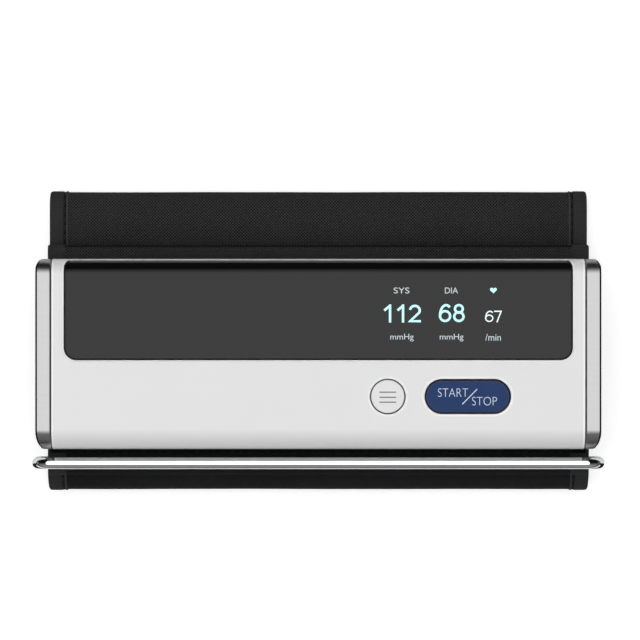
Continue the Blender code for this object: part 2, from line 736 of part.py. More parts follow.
def make_spring(material):
    """The coil between the valve body and the plunger's head."""
    low = VALVE_TOP_Z + SPRING_WIRE + BOARD_GAP
    high = PLUNGER_HEAD_Z - SPRING_WIRE - BOARD_GAP
    count = SPRING_TURNS * 14
    points = []
    for step in range(count + 1):
        angle = 2 * math.pi * SPRING_TURNS * step / count
        points.append(
            (
                VALVE_X + SPRING_RADIUS * math.cos(angle),
                VALVE_Y + SPRING_RADIUS * math.sin(angle),
                low + (high - low) * step / count,
            )
        )
    return tube("valve_spring", points, SPRING_WIRE, material)


# Air path


def make_manifold(material):
    centre = Vector((MANIFOLD_X, MANIFOLD_Y, MANIFOLD_Z))
    half = Vector(MANIFOLD_HALF)
    body = block("air_manifold", centre - half, centre + half, material, BLOCK_ROUNDING)
    side_y, top_x = manifold_barbs()
    sunk = BARB_ROOT
    towards_pump = make_barb("barb_to_pump", (PUMP_BARB_X, MANIFOLD_Y + half.y - sunk, PUMP_BARB_Z), "Y")
    towards_valve = make_barb("barb_to_valve", (centre.x + half.x - sunk, side_y, MANIFOLD_Z), "X")
    towards_sensor = make_barb("barb_to_sensor", (top_x, MANIFOLD_Y, centre.z + half.z - sunk), "Z")
    return join(body, towards_pump, towards_valve, towards_sensor)


def manifold_barbs():
    """Where the barb towards the valve and the barb towards the sensor stand."""
    return MANIFOLD_Y - 0.0010, MANIFOLD_X - 0.0035


def make_tubes(material):
    end = BARB_LENGTH + GAP
    side_y, top_x = manifold_barbs()
    pump_out = (PUMP_BARB_X, PUMP_Y - PUMP_HEAD_HALF - end, PUMP_BARB_Z)
    pump_in = (PUMP_BARB_X, MANIFOLD_Y + MANIFOLD_HALF[1] + end, PUMP_BARB_Z)
    tube("pump_tube", [pump_out, pump_in], TUBE_RADIUS, material, sides=2)
    barb_y, barb_z = valve_barb_place()
    valve_in_x = MANIFOLD_X + MANIFOLD_HALF[0] + end
    route = [
        (VALVE_X, barb_y - GAP, barb_z),
        (VALVE_X, barb_y - 0.0025, barb_z),
        (VALVE_X - 0.0020, barb_y - 0.0095, barb_z + 0.0010),
        (valve_in_x + 0.0050, side_y + 0.0004, MANIFOLD_Z),
        (valve_in_x + 0.0010, side_y, MANIFOLD_Z),
        (valve_in_x, side_y, MANIFOLD_Z),
    ]
    tube("valve_tube", smooth_route(route), TUBE_RADIUS, material)
    sensor_y, sensor_z = sensor_barb_place()
    top_z = MANIFOLD_Z + MANIFOLD_HALF[2] + end
    route = [
        (SENSOR_LOW[0] - end, sensor_y, sensor_z),
        (SENSOR_LOW[0] - 0.0080, sensor_y - 0.0006, sensor_z + 0.0004),
        (-0.0140, sensor_y - 0.0030, 0.0298),
        (-0.0240, MANIFOLD_Y - 0.0010, 0.0302),
        (top_x + 0.0018, MANIFOLD_Y - 0.0002, 0.0298),
        (top_x, MANIFOLD_Y, top_z + 0.0008),
        (top_x, MANIFOLD_Y, top_z),
    ]
    tube("sensor_tube", smooth_route(route), TUBE_RADIUS, material)


def make_nozzle(material):
    """The short pipe from the manifold through the casing and the cuff to the bladder."""
    high_z = MANIFOLD_Z - MANIFOLD_HALF[2] - BOARD_GAP
    length = high_z - NOZZLE_END_Z
    pipe = cylinder("air_nozzle", (MANIFOLD_X, MANIFOLD_Y, NOZZLE_END_Z), "Z", NOZZLE_RADIUS, length, material)
    start = (MANIFOLD_X, MANIFOLD_Y, NOZZLE_END_Z - PAST)
    bore = cylinder("nozzle_bore", start, "Z", NOZZLE_BORE, length + 2 * PAST, segments=16)
    return cut(pipe, bore)


# Fasteners


def make_screw(name, x, y, head_low, head_high, tip_z, material):
    head = cylinder(name, (x, y, head_low), "Z", SCREW_HEAD_RADIUS, head_high - head_low, material, 20)
    root = head_low + BOARD_GAP
    shank = cylinder(name + "_shank", (x, y, root), "Z", SCREW_RADIUS, tip_z - root, segments=12)
    join(head, shank)
    long, wide, deep = DRIVE_SLOT
    for slot, (half_x, half_y) in enumerate(((long, wide), (wide, long))):
        low = (x - half_x, y - half_y, head_low - PAST)
        high = (x + half_x, y + half_y, head_low + deep)
        cut(head, block(f"{name}_slot_{slot}", low, high))
    return head


def make_screws(material):
    for number, (x, y) in enumerate(case_screw_places(), 1):
        make_screw(f"case_screw_{number}", x, y, *CASE_HEAD_Z, CASE_TIP_Z, material)
    for number, (x, y) in enumerate(mount_screw_places(), 1):
        make_screw(f"mount_screw_{number}", x, y, *MOUNT_HEAD_Z, MOUNT_TIP_Z, material)


# Cuff


def turn_z(number):
    """Height of the middle of one of the roll's five turns, counted from the surface it lies on."""
    return FIRST_TURN_Z + number * TURN_PITCH


def fold_arcs():
    """The roll's folds in order from the pocket inwards, each as (y, z, radius, start angle)."""
    front = POCKET_FRONT_Z - BINDING_THICKNESS / 2
    first_radius = (front - turn_z(0)) / 2
    first_y = CUFF_BOTTOM_Y + first_radius + BINDING_THICKNESS / 2
    top_radius = (turn_z(4) - turn_z(0)) / 2
    top_y = CUFF_TOP_Y - top_radius - BINDING_THICKNESS / 2
    inner_y = first_y + INNER_FOLD_SHIFT
    return (
        (first_y, (front + turn_z(0)) / 2, first_radius, 90),
        (top_y, turn_z(2), top_radius, 270),
        (inner_y, (turn_z(4) + turn_z(1)) / 2, (turn_z(4) - turn_z(1)) / 2, 90),
        (top_y, turn_z(2), (turn_z(3) - turn_z(1)) / 2, 270),
        (inner_y, (turn_z(3) + turn_z(2)) / 2, (turn_z(3) - turn_z(2)) / 2, 90),
    )


def roll_section(thickness):
    """The rolled band's outline across X, from the pocket round all its folds and back."""
    half = thickness / 2
    back_corner = POCKET_BACK_CORNER
    edge_corner = POCKET_EDGE_CORNER
    points = [(POCKET_BOTTOM_Y, POCKET_FRONT_Z - thickness)]
    back_centre = (POCKET_BOTTOM_Y + back_corner, POCKET_BACK_Z + back_corner)
    points += arc(back_centre, (back_corner, back_corner), 180, 270, 5)
    for z, start in ((POCKET_BACK_Z + edge_corner, 270), (POCKET_FRONT_Z - edge_corner, 0)):
        points += arc((POCKET_TOP_Y - edge_corner, z), (edge_corner, edge_corner), start, start + 90, 4)
    outer = []
    inner = []
    for y, z, radius, start in fold_arcs():
        steps = 14 if radius > 0.004 else 9
        outer += arc((y, z), (radius + half, radius + half), start, start + 180, steps)
        inner += arc((y, z), (radius - half, radius - half), start, start + 180, steps)
    end_z = turn_z(2)
    return points + outer + [(BAND_END_Y, end_z - half), (BAND_END_Y, end_z + half)] + inner[::-1]


def make_band(material):
    band = prism("cuff_band", roll_section(BAND_THICKNESS), "X", -BAND_HALF_WIDTH, BAND_HALF_WIDTH, material)
    cut(band, block("pocket_room", *POCKET_ROOM))
    front_wall = POCKET_FRONT_Z - POCKET_ROOM[1][2]
    depth = front_wall + PAST
    drill(band, "band_nozzle_hole", MANIFOLD_X, MANIFOLD_Y, POCKET_ROOM[1][2], depth, NOZZLE_ROOM, 20)
    for number, (x, y) in enumerate(mount_screw_places(), 1):
        drill(band, f"band_hole_{number}", x, y, POCKET_ROOM[1][2], depth)
    return band


def make_bindings(material):
    for name, side in (("edge_binding_left", -1), ("edge_binding_right", 1)):
        ends = sorted((side * (CUFF_HALF_WIDTH - BINDING_WIDTH), side * CUFF_HALF_WIDTH))
        prism(name, roll_section(BINDING_THICKNESS), "X", *ends, material)


def make_hook_tab(material):
    """The hook fastener at the band's free end, in the middle of the roll."""
    low = (-BAND_HALF_WIDTH, BAND_END_Y + GAP, turn_z(2) - HOOK_TAB_HALF)
    high = (BAND_HALF_WIDTH, HOOK_TAB_END_Y, turn_z(2) + HOOK_TAB_HALF)
    return block("hook_tab", low, high, material)


def make_plate(material):
    low = (POCKET_ROOM[0][0] + PLATE_MARGIN, POCKET_ROOM[0][1] + PLATE_MARGIN)
    high = (POCKET_ROOM[1][0] - PLATE_MARGIN, POCKET_ROOM[1][1] - PLATE_MARGIN)
    outline = rounded_rectangle(low, high, PLATE_CORNER, PLATE_CORNER)
    plate = prism("backing_plate", outline, "Z", *PLATE_Z, material)
    depth = PLATE_Z[1] - PLATE_Z[0] + PAST
    drill(plate, "plate_nozzle_hole", MANIFOLD_X, MANIFOLD_Y, PLATE_Z[0], depth, NOZZLE_ROOM, 20)
    for number, (x, y) in enumerate(mount_screw_places(), 1):
        drill(plate, f"plate_hole_{number}", x, y, PLATE_Z[0], depth)
    return plate


def make_bladder(material):
    outline = rounded_rectangle(BLADDER_LOW[:2], BLADDER_HIGH[:2], BLADDER_CORNER, BLADDER_CORNER)
    bladder = prism("air_bladder", outline, "Z", BLADDER_LOW[2], BLADDER_HIGH[2], material)
    soften(bladder, BLADDER_ROUNDING)
    return bladder


def make_sleeve(material):
    """The sewn loop of band fabric round the ring's inner rod."""
    outline = arc((SLEEVE_Y, RING_AXIS_Z), (SLEEVE_HALF_WIDTH, SLEEVE_HALF_HEIGHT), 0, 352.5, 47)
    sleeve = prism("ring_sleeve", outline, "X", -SLEEVE_HALF_LENGTH, SLEEVE_HALF_LENGTH, material)
    bore = cylinder("sleeve_bore", (-FAR_X, RING_Y, RING_AXIS_Z), "X", SLEEVE_BORE, 2 * FAR_X, segments=24)
    return cut(sleeve, bore)


def make_ring(material):
    """A bent rod closed into a long loop that stands across the cuff."""
    reach = RING_HALF_LENGTH - ROD_RADIUS
    outline = rounded_rectangle((-reach, 0.0), (reach, RING_PITCH), RING_CORNER, RING_CORNER, 7)
    ring = tube("slot_ring", [(x, 0.0, z) for x, z in outline], ROD_RADIUS, material, cyclic=True, sides=4)
    ring.location = (0.0, RING_Y, RING_AXIS_Z)
    return ring


def main():
    clear_scene()
    white = make_material("white_plastic", (0.80, 0.80, 0.81), 0.35)
    satin = make_material("satin_metal", (0.66, 0.66, 0.65), 0.32, 1.0)
    lens_black = make_material("lens_glass", (0.05, 0.05, 0.055), 0.12)
    screen = make_material("display_black", (0.02, 0.02, 0.025), 0.3)
    frame_grey = make_material("frame_plastic", (0.12, 0.12, 0.13), 0.5)
    blue = make_material("button_blue", (0.024, 0.051, 0.162), 0.35)
    key_white = make_material("button_white", (0.82, 0.82, 0.83), 0.35)
    switch_black = make_material("switch_black", (0.03, 0.03, 0.03), 0.5)
    board_green = make_material("board_green", (0.02, 0.14, 0.07), 0.45)
    foil = make_material("battery_foil", (0.55, 0.57, 0.60), 0.4, 0.3)
    ceramic = make_material("sensor_grey", (0.25, 0.26, 0.28), 0.5)
    steel = make_material("steel", (0.60, 0.61, 0.62), 0.3, 1.0)
    motor_steel = make_material("motor_steel", (0.50, 0.50, 0.50), 0.35, 1.0)
    crank_brass = make_material("crank_brass", (0.72, 0.55, 0.25), 0.35, 1.0)
    pump_black = make_material("pump_black", (0.04, 0.04, 0.045), 0.5)
    cradle_rubber = make_material("cradle_rubber", (0.06, 0.06, 0.06), 0.8)
    valve_white = make_material("valve_white", (0.70, 0.69, 0.66), 0.5)
    manifold_white = make_material("manifold_white", (0.74, 0.74, 0.72), 0.45)
    silicone = make_material("silicone_tube", (0.70, 0.72, 0.70), 0.4)
    band_fabric = make_material("band_fabric", (0.020, 0.020, 0.021), 0.9)
    binding_tape = make_material("binding_tape", (0.026, 0.026, 0.027), 0.85)
    sleeve_fabric = make_material("sleeve_fabric", (0.015, 0.015, 0.016), 0.9)
    hook_tape = make_material("hook_tape", (0.03, 0.03, 0.03), 0.95)
    plate_plastic = make_material("plate_plastic", (0.10, 0.10, 0.11), 0.5)
    bladder_film = make_material("bladder_film", (0.35, 0.37, 0.38), 0.4)
    chrome = make_material("chrome", (0.78, 0.78, 0.78), 0.08, 1.0)

    make_front_shell(white)
    make_rear_shell(white)
    make_end_cap("end_cap_left", -1, satin)
    make_end_cap("end_cap_right", 1, satin)
    make_lens(lens_black)
    make_display(screen)
    make_display_frame(frame_grey)
    make_menu_button(key_white)
    make_start_button(blue)
    make_switch("menu_switch", MENU_X, switch_black)
    make_switch("start_switch", START_X, switch_black)
    make_board(board_green)
    make_battery(foil)
    make_sensor(ceramic)
    make_port(steel)
    make_motor(motor_steel)
    make_crank(crank_brass)
    make_pump_head(pump_black)
    make_cradle(cradle_rubber)
    make_valve(valve_white)
    make_plunger(steel)
    make_spring(steel)
    make_manifold(manifold_white)
    make_tubes(silicone)
    make_nozzle(manifold_white)
    make_screws(steel)
    make_band(band_fabric)
    make_bindings(binding_tape)
    make_hook_tab(hook_tape)
    make_plate(plate_plastic)
    make_bladder(bladder_film)
    make_sleeve(sleeve_fabric)
    make_ring(chrome)


main()
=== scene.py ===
"""Looks of the upper arm blood pressure monitor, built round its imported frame.

The part lies on its back: +Z is out of the display, +Y is towards the display's long edge.
All lengths are in metres.
"""

import json
import math

import bmesh
import bpy
import numpy as np
from mathutils import Matrix, Vector


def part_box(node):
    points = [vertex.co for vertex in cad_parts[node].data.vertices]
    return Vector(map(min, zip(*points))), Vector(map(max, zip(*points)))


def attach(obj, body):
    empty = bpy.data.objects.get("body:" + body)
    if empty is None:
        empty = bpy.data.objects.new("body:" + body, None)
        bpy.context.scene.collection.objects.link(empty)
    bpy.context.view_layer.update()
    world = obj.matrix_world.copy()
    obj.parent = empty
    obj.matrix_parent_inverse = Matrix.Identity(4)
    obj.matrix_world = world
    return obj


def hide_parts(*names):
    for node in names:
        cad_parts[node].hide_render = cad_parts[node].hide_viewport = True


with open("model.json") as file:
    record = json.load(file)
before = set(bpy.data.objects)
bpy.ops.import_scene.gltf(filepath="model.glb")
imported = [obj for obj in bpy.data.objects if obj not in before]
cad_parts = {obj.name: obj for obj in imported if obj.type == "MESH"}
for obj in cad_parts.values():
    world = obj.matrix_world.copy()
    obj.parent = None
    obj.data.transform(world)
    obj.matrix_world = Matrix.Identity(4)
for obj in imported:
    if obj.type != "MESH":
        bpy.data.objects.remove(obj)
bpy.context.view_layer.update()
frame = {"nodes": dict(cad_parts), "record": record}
MM = 0.001

# ---------------------------------------------------------------- sizes read from the frame

SHELL_LOW, SHELL_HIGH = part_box("front_shell")
REAR_LOW, REAR_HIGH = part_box("rear_shell")
LENS_LOW, LENS_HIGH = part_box("display_lens")
MENU_LOW, MENU_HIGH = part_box("menu_button")
START_LOW, START_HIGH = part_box("start_stop_button")
CAP_LOW, CAP_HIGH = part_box("end_cap_right")
BIND_LOW, BIND_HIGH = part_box("edge_binding_right")
RING_LOW, RING_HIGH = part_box("slot_ring")
SLEEVE_HALF_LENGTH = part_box("ring_sleeve")[1].x
BODY = "monitor"

UNIT_BOTTOM_Y, UNIT_TOP_Y = SHELL_LOW.y, SHELL_HIGH.y
UNIT_BACK_Z, UNIT_FRONT_Z = REAR_LOW.z, SHELL_HIGH.z
PARTING_Z = (SHELL_LOW.z + REAR_HIGH.z) / 2
FRONT_TOP_EDGE = (4.2 * MM, 5.8 * MM)
FRONT_BOTTOM_EDGE = (5.7 * MM, 7.2 * MM)
BACK_BOTTOM_EDGE = (3.4 * MM, 6.0 * MM)
BACK_TOP_EDGE = (2.6 * MM, 6.0 * MM)
LENS_THICKNESS = 1.0 * MM
LENS_GAP = 0.2 * MM
BUTTON_Y = (MENU_LOW.y + MENU_HIGH.y) / 2
MENU_X = (MENU_LOW.x + MENU_HIGH.x) / 2
START_X = (START_LOW.x + START_HIGH.x) / 2
FLANGE_MARGIN = 1.2 * MM
MENU_RADIUS = (MENU_HIGH.x - MENU_LOW.x) / 2 - FLANGE_MARGIN
START_HALF_LENGTH = (START_HIGH.x - START_LOW.x) / 2 - FLANGE_MARGIN
START_HALF_HEIGHT = (START_HIGH.y - START_LOW.y) / 2 - FLANGE_MARGIN
MENU_LINE_LIFTS = (1.15 * MM, -0.2 * MM, -1.5 * MM)
MENU_LINE_HALF = (2.24 * MM, 0.16 * MM)
SIDES = (("left", -1), ("right", 1))
STITCH_LENGTH, STITCH_PITCH = 1.7 * MM, 2.4 * MM
LETTER_DEPTH = 0.02 * MM
FLANGE_THICKNESS = 0.8 * MM
FLANGE_CLEARANCE = 0.3 * MM
CAP_ROUND = 0.5 * MM
# Each outer corner of an end cap, seen from the front, as its (x, y) radii: upper, then lower.
CAP_CORNERS = ((1.9 * MM, 2.6 * MM), (2.2 * MM, 5.0 * MM))
RIM_WIDTH = 0.5 * MM
LENS_EDGE_GAP = 0.46 * MM
# The ring's bends: lower, then upper.
RING_CORNERS = (2.6 * MM, 4.4 * MM)
# Cloth in front of this y takes a darker copy of the band's mesh: painted shade on the front fold.
FOLD_SHADE_Y = -30.0 * MM
LIP_WIDTH, LIP_RISE, LIP_DEPTH = 0.42 * MM, 0.03 * MM, 0.12 * MM
TRIM_WIDTH = 0.48 * MM

# ---------------------------------------------------------------- material helpers


class Shader:
    """A Principled material whose nodes are added by name."""

    def __init__(self, name, colour, roughness, metallic=0.0, specular=0.5):
        self.material = bpy.data.materials.new(name)
        self.material.use_nodes = True
        self.tree = self.material.node_tree
        self.main = self.tree.nodes["Principled BSDF"]
        self.set("Base Color", (*colour, 1.0))
        self.set("Roughness", roughness)
        self.set("Metallic", metallic)
        self.set("Specular IOR Level", specular)

    def set(self, socket, value):
        self.main.inputs[socket].default_value = value

    def link(self, source, target):
        self.tree.links.new(source, target)

    def feed(self, socket, source):
        self.link(source, self.main.inputs[socket])

    def node(self, kind, **values):
        made = self.tree.nodes.new(kind)
        for name, value in values.items():
            setattr(made, name, value)
        return made

    def math(self, operation, first, second=None):
        made = self.node("ShaderNodeMath", operation=operation)
        for socket, value in zip(made.inputs, (first, second)):
            if isinstance(value, (int, float)):
                socket.default_value = value
            elif value is not None:
                self.link(value, socket)
        return made.outputs[0]

    def coordinates(self, kind="Object"):
        return self.node("ShaderNodeTexCoord").outputs[kind]

    def scaled(self, vector, scale):
        made = self.node("ShaderNodeMapping")
        made.inputs["Scale"].default_value = scale
        self.link(vector, made.inputs["Vector"])
        return made.outputs[0]

    def noise(self, scale, detail=3.0, roughness=0.55, vector=None):
        made = self.node("ShaderNodeTexNoise")
        made.inputs["Scale"].default_value = scale
        made.inputs["Detail"].default_value = detail
        made.inputs["Roughness"].default_value = roughness
        self.link(vector or self.coordinates(), made.inputs["Vector"])
        return made.outputs["Fac"]

    def ramp(self, factor, low, high, start=0.0, end=1.0):
        """A colour that goes from low to high as the factor goes from start to end."""
        made = self.node("ShaderNodeValToRGB")
        made.color_ramp.elements[0].position = start
        made.color_ramp.elements[0].color = (*low, 1.0)
        made.color_ramp.elements[1].position = end
        made.color_ramp.elements[1].color = (*high, 1.0)
        self.link(factor, made.inputs["Fac"])
        return made.outputs["Color"]

    def spread(self, factor, low, high):
        made = self.node("ShaderNodeMapRange")
        made.inputs["To Min"].default_value = low
        made.inputs["To Max"].default_value = high
        self.link(factor, made.inputs["Value"])
        return made.outputs[0]

    def bump(self, height, distance, strength=1.0):
        made = self.node("ShaderNodeBump")
        made.inputs["Distance"].default_value = distance
        made.inputs["Strength"].default_value = strength
        self.link(height, made.inputs["Height"])
        self.feed("Normal", made.outputs["Normal"])


def drifted(colour, share):
    """A colour a little darker and a little lighter."""
    return tuple(c * (1 - share) for c in colour), tuple(min(1.0, c * (1 + share)) for c in colour)


def plastic(name, colour, roughness, specular=0.5, grain=0.02, variation=0.03):
    """Moulded plastic: slight tone drift, fine moulding grain and uneven gloss."""
    made = Shader(name, colour, roughness, specular=specular)
    drift = made.noise(30.0, 2.0)
    made.feed("Base Color", made.ramp(drift, *drifted(colour, variation), 0.3, 0.7))
    gloss = made.noise(220.0, 3.0)
    made.feed("Roughness", made.spread(gloss, roughness * 0.85, roughness * 1.15))
    made.bump(made.noise(2600.0, 2.0), grain * MM, 0.35)
    return made.material


def metal(name, colour, roughness, stretch=(1, 1, 1), brushed=0.02, variation=0.05):
    """Bare or plated metal with fine brushing along one direction."""
    made = Shader(name, colour, roughness, metallic=1.0)
    lines = made.noise(900.0, 4.0, vector=made.scaled(made.coordinates(), stretch))
    made.feed("Base Color", made.ramp(lines, *drifted(colour, variation), 0.3, 0.7))
    made.feed("Roughness", made.spread(lines, roughness * 0.8, roughness * 1.2))
    made.bump(lines, brushed * MM, 0.3)
    return made.material


def weave_cells(shader, pitch):
    """A net of fine crossing yarns: 1 in the middle of each diamond opening, 0 on the yarns."""
    split = shader.node("ShaderNodeSeparateXYZ")
    shader.link(shader.coordinates("UV"), split.inputs[0])
    turn = math.pi / pitch
    along, over = (shader.math("MULTIPLY", split.outputs[k], turn) for k in (0, 1))
    yarns = [
        shader.math("ABSOLUTE", shader.math("SINE", shader.math(how, along, over)))
        for how in ("ADD", "SUBTRACT")
    ]
    return shader.math("MULTIPLY", *yarns)


def mesh_cloth(name, yarn, opening, pitch, depth=0.10):
    """Knitted mesh fabric: light yarns crossing over darker diamond openings, with loose fibres."""
    made = Shader(name, yarn, 0.9, specular=0.12)
    fuzz = made.noise(1500.0, 4.0, 0.7)
    patchy = made.noise(45.0, 3.0, 0.6)
    tone = made.math("SUBTRACT", 1.0, weave_cells(made, pitch))
    tone = made.math("ADD", tone, made.math("MULTIPLY", made.math("SUBTRACT", fuzz, 0.5), 0.45))
    tone = made.math("ADD", tone, made.math("MULTIPLY", made.math("SUBTRACT", patchy, 0.5), 0.30))
    made.feed("Base Color", made.ramp(tone, opening, yarn, 0.15, 0.95))
    made.bump(tone, depth * MM, 0.8)
    return made.material


def tape_cloth(name, colour, pitch=0.55 * MM):
    """Closely woven tape with faint ribs across its width."""
    made = Shader(name, colour, 0.85, specular=0.15)
    split = made.node("ShaderNodeSeparateXYZ")
    made.link(made.coordinates("UV"), split.inputs[0])
    ribs = made.math("SINE", made.math("MULTIPLY", split.outputs[1], 2 * math.pi / pitch))
    fuzz = made.noise(2200.0, 4.0, 0.7)
    tone = made.math("ADD", made.math("MULTIPLY", ribs, 0.22), fuzz)
    made.feed("Base Color", made.ramp(tone, *drifted(colour, 0.25), 0.3, 0.8))
    made.bump(tone, 0.05 * MM, 0.7)
    return made.material


def glow(name, colour, strength):
    """A lit display mark."""
    made = Shader(name, tuple(c * 0.2 for c in colour), 0.4)
    tone = made.noise(900.0, 2.0)
    low = tuple(c * 0.93 for c in colour)
    made.feed("Emission Color", made.ramp(tone, low, colour, 0.3, 0.6))
    made.set("Emission Strength", strength)
    return made.material


# ---------------------------------------------------------------- shape helpers


def arc(centre, radii, start_deg, end_deg, steps):
    turns = [math.radians(start_deg + (end_deg - start_deg) * k / steps) for k in range(steps + 1)]
    return [(centre[0] + radii[0] * math.cos(t), centre[1] + radii[1] * math.sin(t)) for t in turns]


def stadium(x, y, half_length, half_height, steps=32):
    inner = half_length - half_height
    right = arc((x + inner, y), (half_height, half_height), -90, 90, steps)
    return right + arc((x - inner, y), (half_height, half_height), 90, 270, steps)


def rounded_rectangle(low, high, low_radius, high_radius, steps=12):
    """An outline with one radius for its two low corners and one for its two high corners."""
    points = arc((high[0] - high_radius, high[1] - high_radius), (high_radius,) * 2, 0, 90, steps)
    points += arc((low[0] + high_radius, high[1] - high_radius), (high_radius,) * 2, 90, 180, steps)
    points += arc((low[0] + low_radius, low[1] + low_radius), (low_radius,) * 2, 180, 270, steps)
    return points + arc((high[0] - low_radius, low[1] + low_radius), (low_radius,) * 2, 270, 360, steps)


def walk(corners, stride):
    """Points along a line of corners, no further apart than about one stride, without the last."""
    path = []
    for first, second in zip(corners, corners[1:]):
        gap = math.dist(first, second)
        parts = max(1, round(gap / stride)) if gap > 1e-7 else 0
        for part in range(parts):
            t = part / parts
            path.append(tuple(a + (b - a) * t for a, b in zip(first, second)))
    return path


def add_mesh(name, shape, material=None, sharp_deg=35):
    mesh = bpy.data.meshes.new(name)
    shape.to_mesh(mesh)
    shape.free()
    mesh.shade_smooth()
    mesh.set_sharp_from_angle(angle=math.radians(sharp_deg))
    made = bpy.data.objects.new(name, mesh)
    bpy.context.scene.collection.objects.link(made)
    if material:
        mesh.materials.append(material)
    return made


def prism(name, outline, axis, low, high, material=None):
    """An outline extruded along X from (y, z) points, or along Z from (x, y) points."""
    shape = bmesh.new()
    spots = [(low, *p) if axis == "X" else (*p, low) for p in outline]
    base = shape.faces.new([shape.verts.new(spot) for spot in spots])
    grown = bmesh.ops.extrude_face_region(shape, geom=[base])
    moved = [item for item in grown["geom"] if isinstance(item, bmesh.types.BMVert)]
    step = (high - low, 0, 0) if axis == "X" else (0, 0, high - low)
    bmesh.ops.translate(shape, verts=moved, vec=step)
    bmesh.ops.recalc_face_normals(shape, faces=shape.faces)
    return add_mesh(name, shape, material)


def apply_modifiers(target):
    """Leaves a piece as the plain mesh that its modifiers make."""
    graph = bpy.context.evaluated_depsgraph_get()
    made = bpy.data.meshes.new_from_object(target.evaluated_get(graph))
    target.modifiers.clear()
    old = target.data
    target.data = made
    bpy.data.meshes.remove(old)


def carve(target, operation, *others):
    """Booleans other objects into a target, then removes them."""
    for other in others:
        step = target.modifiers.new("carve", "BOOLEAN")
        step.operation = operation
        step.solver = "EXACT"
        step.object = other
    apply_modifiers(target)
    for other in others:
        bpy.data.objects.remove(other)
    return target


def drill(target, outline, low, high):
    """Cuts a hole of one outline into a piece along Z."""
    return carve(target, "DIFFERENCE", prism("hole", outline, "Z", low, high))


def drill_deep(target, outline):
    """Cuts a hole of one outline through the unit's front."""
    return drill(target, outline, CEILING_Z - 2 * MM, UNIT_FRONT_Z + MM)


def mirror(target):
    """Turns a right-hand piece into its left-hand twin."""
    target.data.transform(Matrix.Scale(-1, 4, (1, 0, 0)))
    target.data.flip_normals()


def soften(target, width, segments=3, angle_deg=32, band=-1, clamp=True):
    """Rounds the sharp edges of a piece; a band gives the rounded faces their own finish."""
    edge = target.modifiers.new("soft", "BEVEL")
    edge.width = width
    edge.segments = segments
    edge.limit_method = "ANGLE"
    edge.angle_limit = math.radians(angle_deg)
    edge.harden_normals = True
    edge.material = band
    edge.use_clamp_overlap = clamp
    apply_modifiers(target)
    return target


def settle(piece, body, slot=None, *nodes):
    """Rides a finished piece on its body and hides the CAD nodes it stands for; the slot is not used.
    """
    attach(piece, body)
    if nodes:
        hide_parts(*nodes)
    return piece


def smooth_normals(target):
    """Keeps big flat faces flat where they meet small bevel faces."""
    step = target.modifiers.new("normals", "WEIGHTED_NORMAL")
    step.keep_sharp = True
    step.weight = 80
    apply_modifiers(target)
    return target


def block(name, low, high, material=None):
    outline = [(low[0], low[1]), (high[0], low[1]), (high[0], high[1]), (low[0], high[1])]
    return prism(name, outline, "Z", low[2], high[2], material)


def disc(x, y, radius, steps=64):
    return arc((x, y), (radius, radius), 0, 360 * (steps - 1) / steps, steps - 1)


def ring_faces(shape, rings):
    """Joins each ring of corners to the next with faces, and returns them."""
    around = len(rings[0])
    return [
        [shape.faces.new((a[k], a[(k + 1) % around], b[(k + 1) % around], b[k])) for k in range(around)]
        for a, b in zip(rings, rings[1:])
    ]


def sweep(name, path, profile, material, sharp_deg=50):
    """A closed (x, h) profile carried along a (y, z) path, h being the distance out from the path.

    The map coordinates are x across and the distance along the path, in metres.
    """
    length = [0.0]
    for first, second in zip(path, path[1:]):
        length.append(length[-1] + math.dist(first, second))
    shape = bmesh.new()
    layer = shape.loops.layers.uv.new("cloth")
    rings = []
    for index, (y, z) in enumerate(path):
        before, after = path[max(index - 1, 0)], path[min(index + 1, len(path) - 1)]
        along = Vector((after[0] - before[0], after[1] - before[1])).normalized()
        section = profile(index, length[index]) if callable(profile) else profile
        rings.append([shape.verts.new((x, y + h * along.y, z - h * along.x)) for x, h in section])
    for index, faces in enumerate(ring_faces(shape, rings)):
        ends = (length[index], length[index], length[index + 1], length[index + 1])
        for face in faces:
            for loop, end in zip(face.loops, ends):
                loop[layer].uv = (loop.vert.co.x, end)
    for ring in (rings[0], rings[-1][::-1]):
        for loop in shape.faces.new(ring).loops:
            loop[layer].uv = (loop.vert.co.x, loop.vert.co.z)
    bmesh.ops.recalc_face_normals(shape, faces=shape.faces)
    return add_mesh(name, shape, material, sharp_deg)


def box_map(target):
    """Map coordinates in metres from the face's main direction."""
    mesh = target.data
    layer = mesh.uv_layers.get("cloth") or mesh.uv_layers.new(name="cloth")
    for face in mesh.polygons:
        axis = max(range(3), key=lambda k: abs(face.normal[k]))
        first, second = [(1, 2), (0, 2), (0, 1)][axis]
        for loop in face.loop_indices:
            spot = mesh.vertices[mesh.loops[loop].vertex_index].co
            layer.data[loop].uv = (spot[first], spot[second])
    return target


def stitch_row(name, places, length, radius, material, sides=6, steps=6):
    """Short raised stitches, each from (centre, along, out) with its two ends sunk into the cloth."""
    shape = bmesh.new()
    turns = [2 * math.pi * k / sides for k in range(sides)]
    for centre, along, out in places:
        centre, along, out = Vector(centre), Vector(along).normalized(), Vector(out).normalized()
        across = along.cross(out)
        rings = []
        for step in range(steps + 1):
            t = step / steps * 2 - 1
            lift = radius * (0.9 - 1.8 * t * t)
            spot = centre + along * (length / 2 * t) + out * lift
            wide = radius * (1.0 - 0.35 * t * t)
            offsets = [(across * math.cos(turn) + out * math.sin(turn)) * wide for turn in turns]
            rings.append([shape.verts.new(spot + offset) for offset in offsets])
        ring_faces(shape, rings)
        shape.faces.new(rings[0][::-1])
        shape.faces.new(rings[-1])
    bmesh.ops.recalc_face_normals(shape, faces=shape.faces)
    return add_mesh(name, shape, material, 60)


def sew(name, places, radius, slot="binding_tape"):
    """A row of the cuff's stitches."""
    return settle(stitch_row(name, places, STITCH_LENGTH, radius, thread_look), BODY, slot)


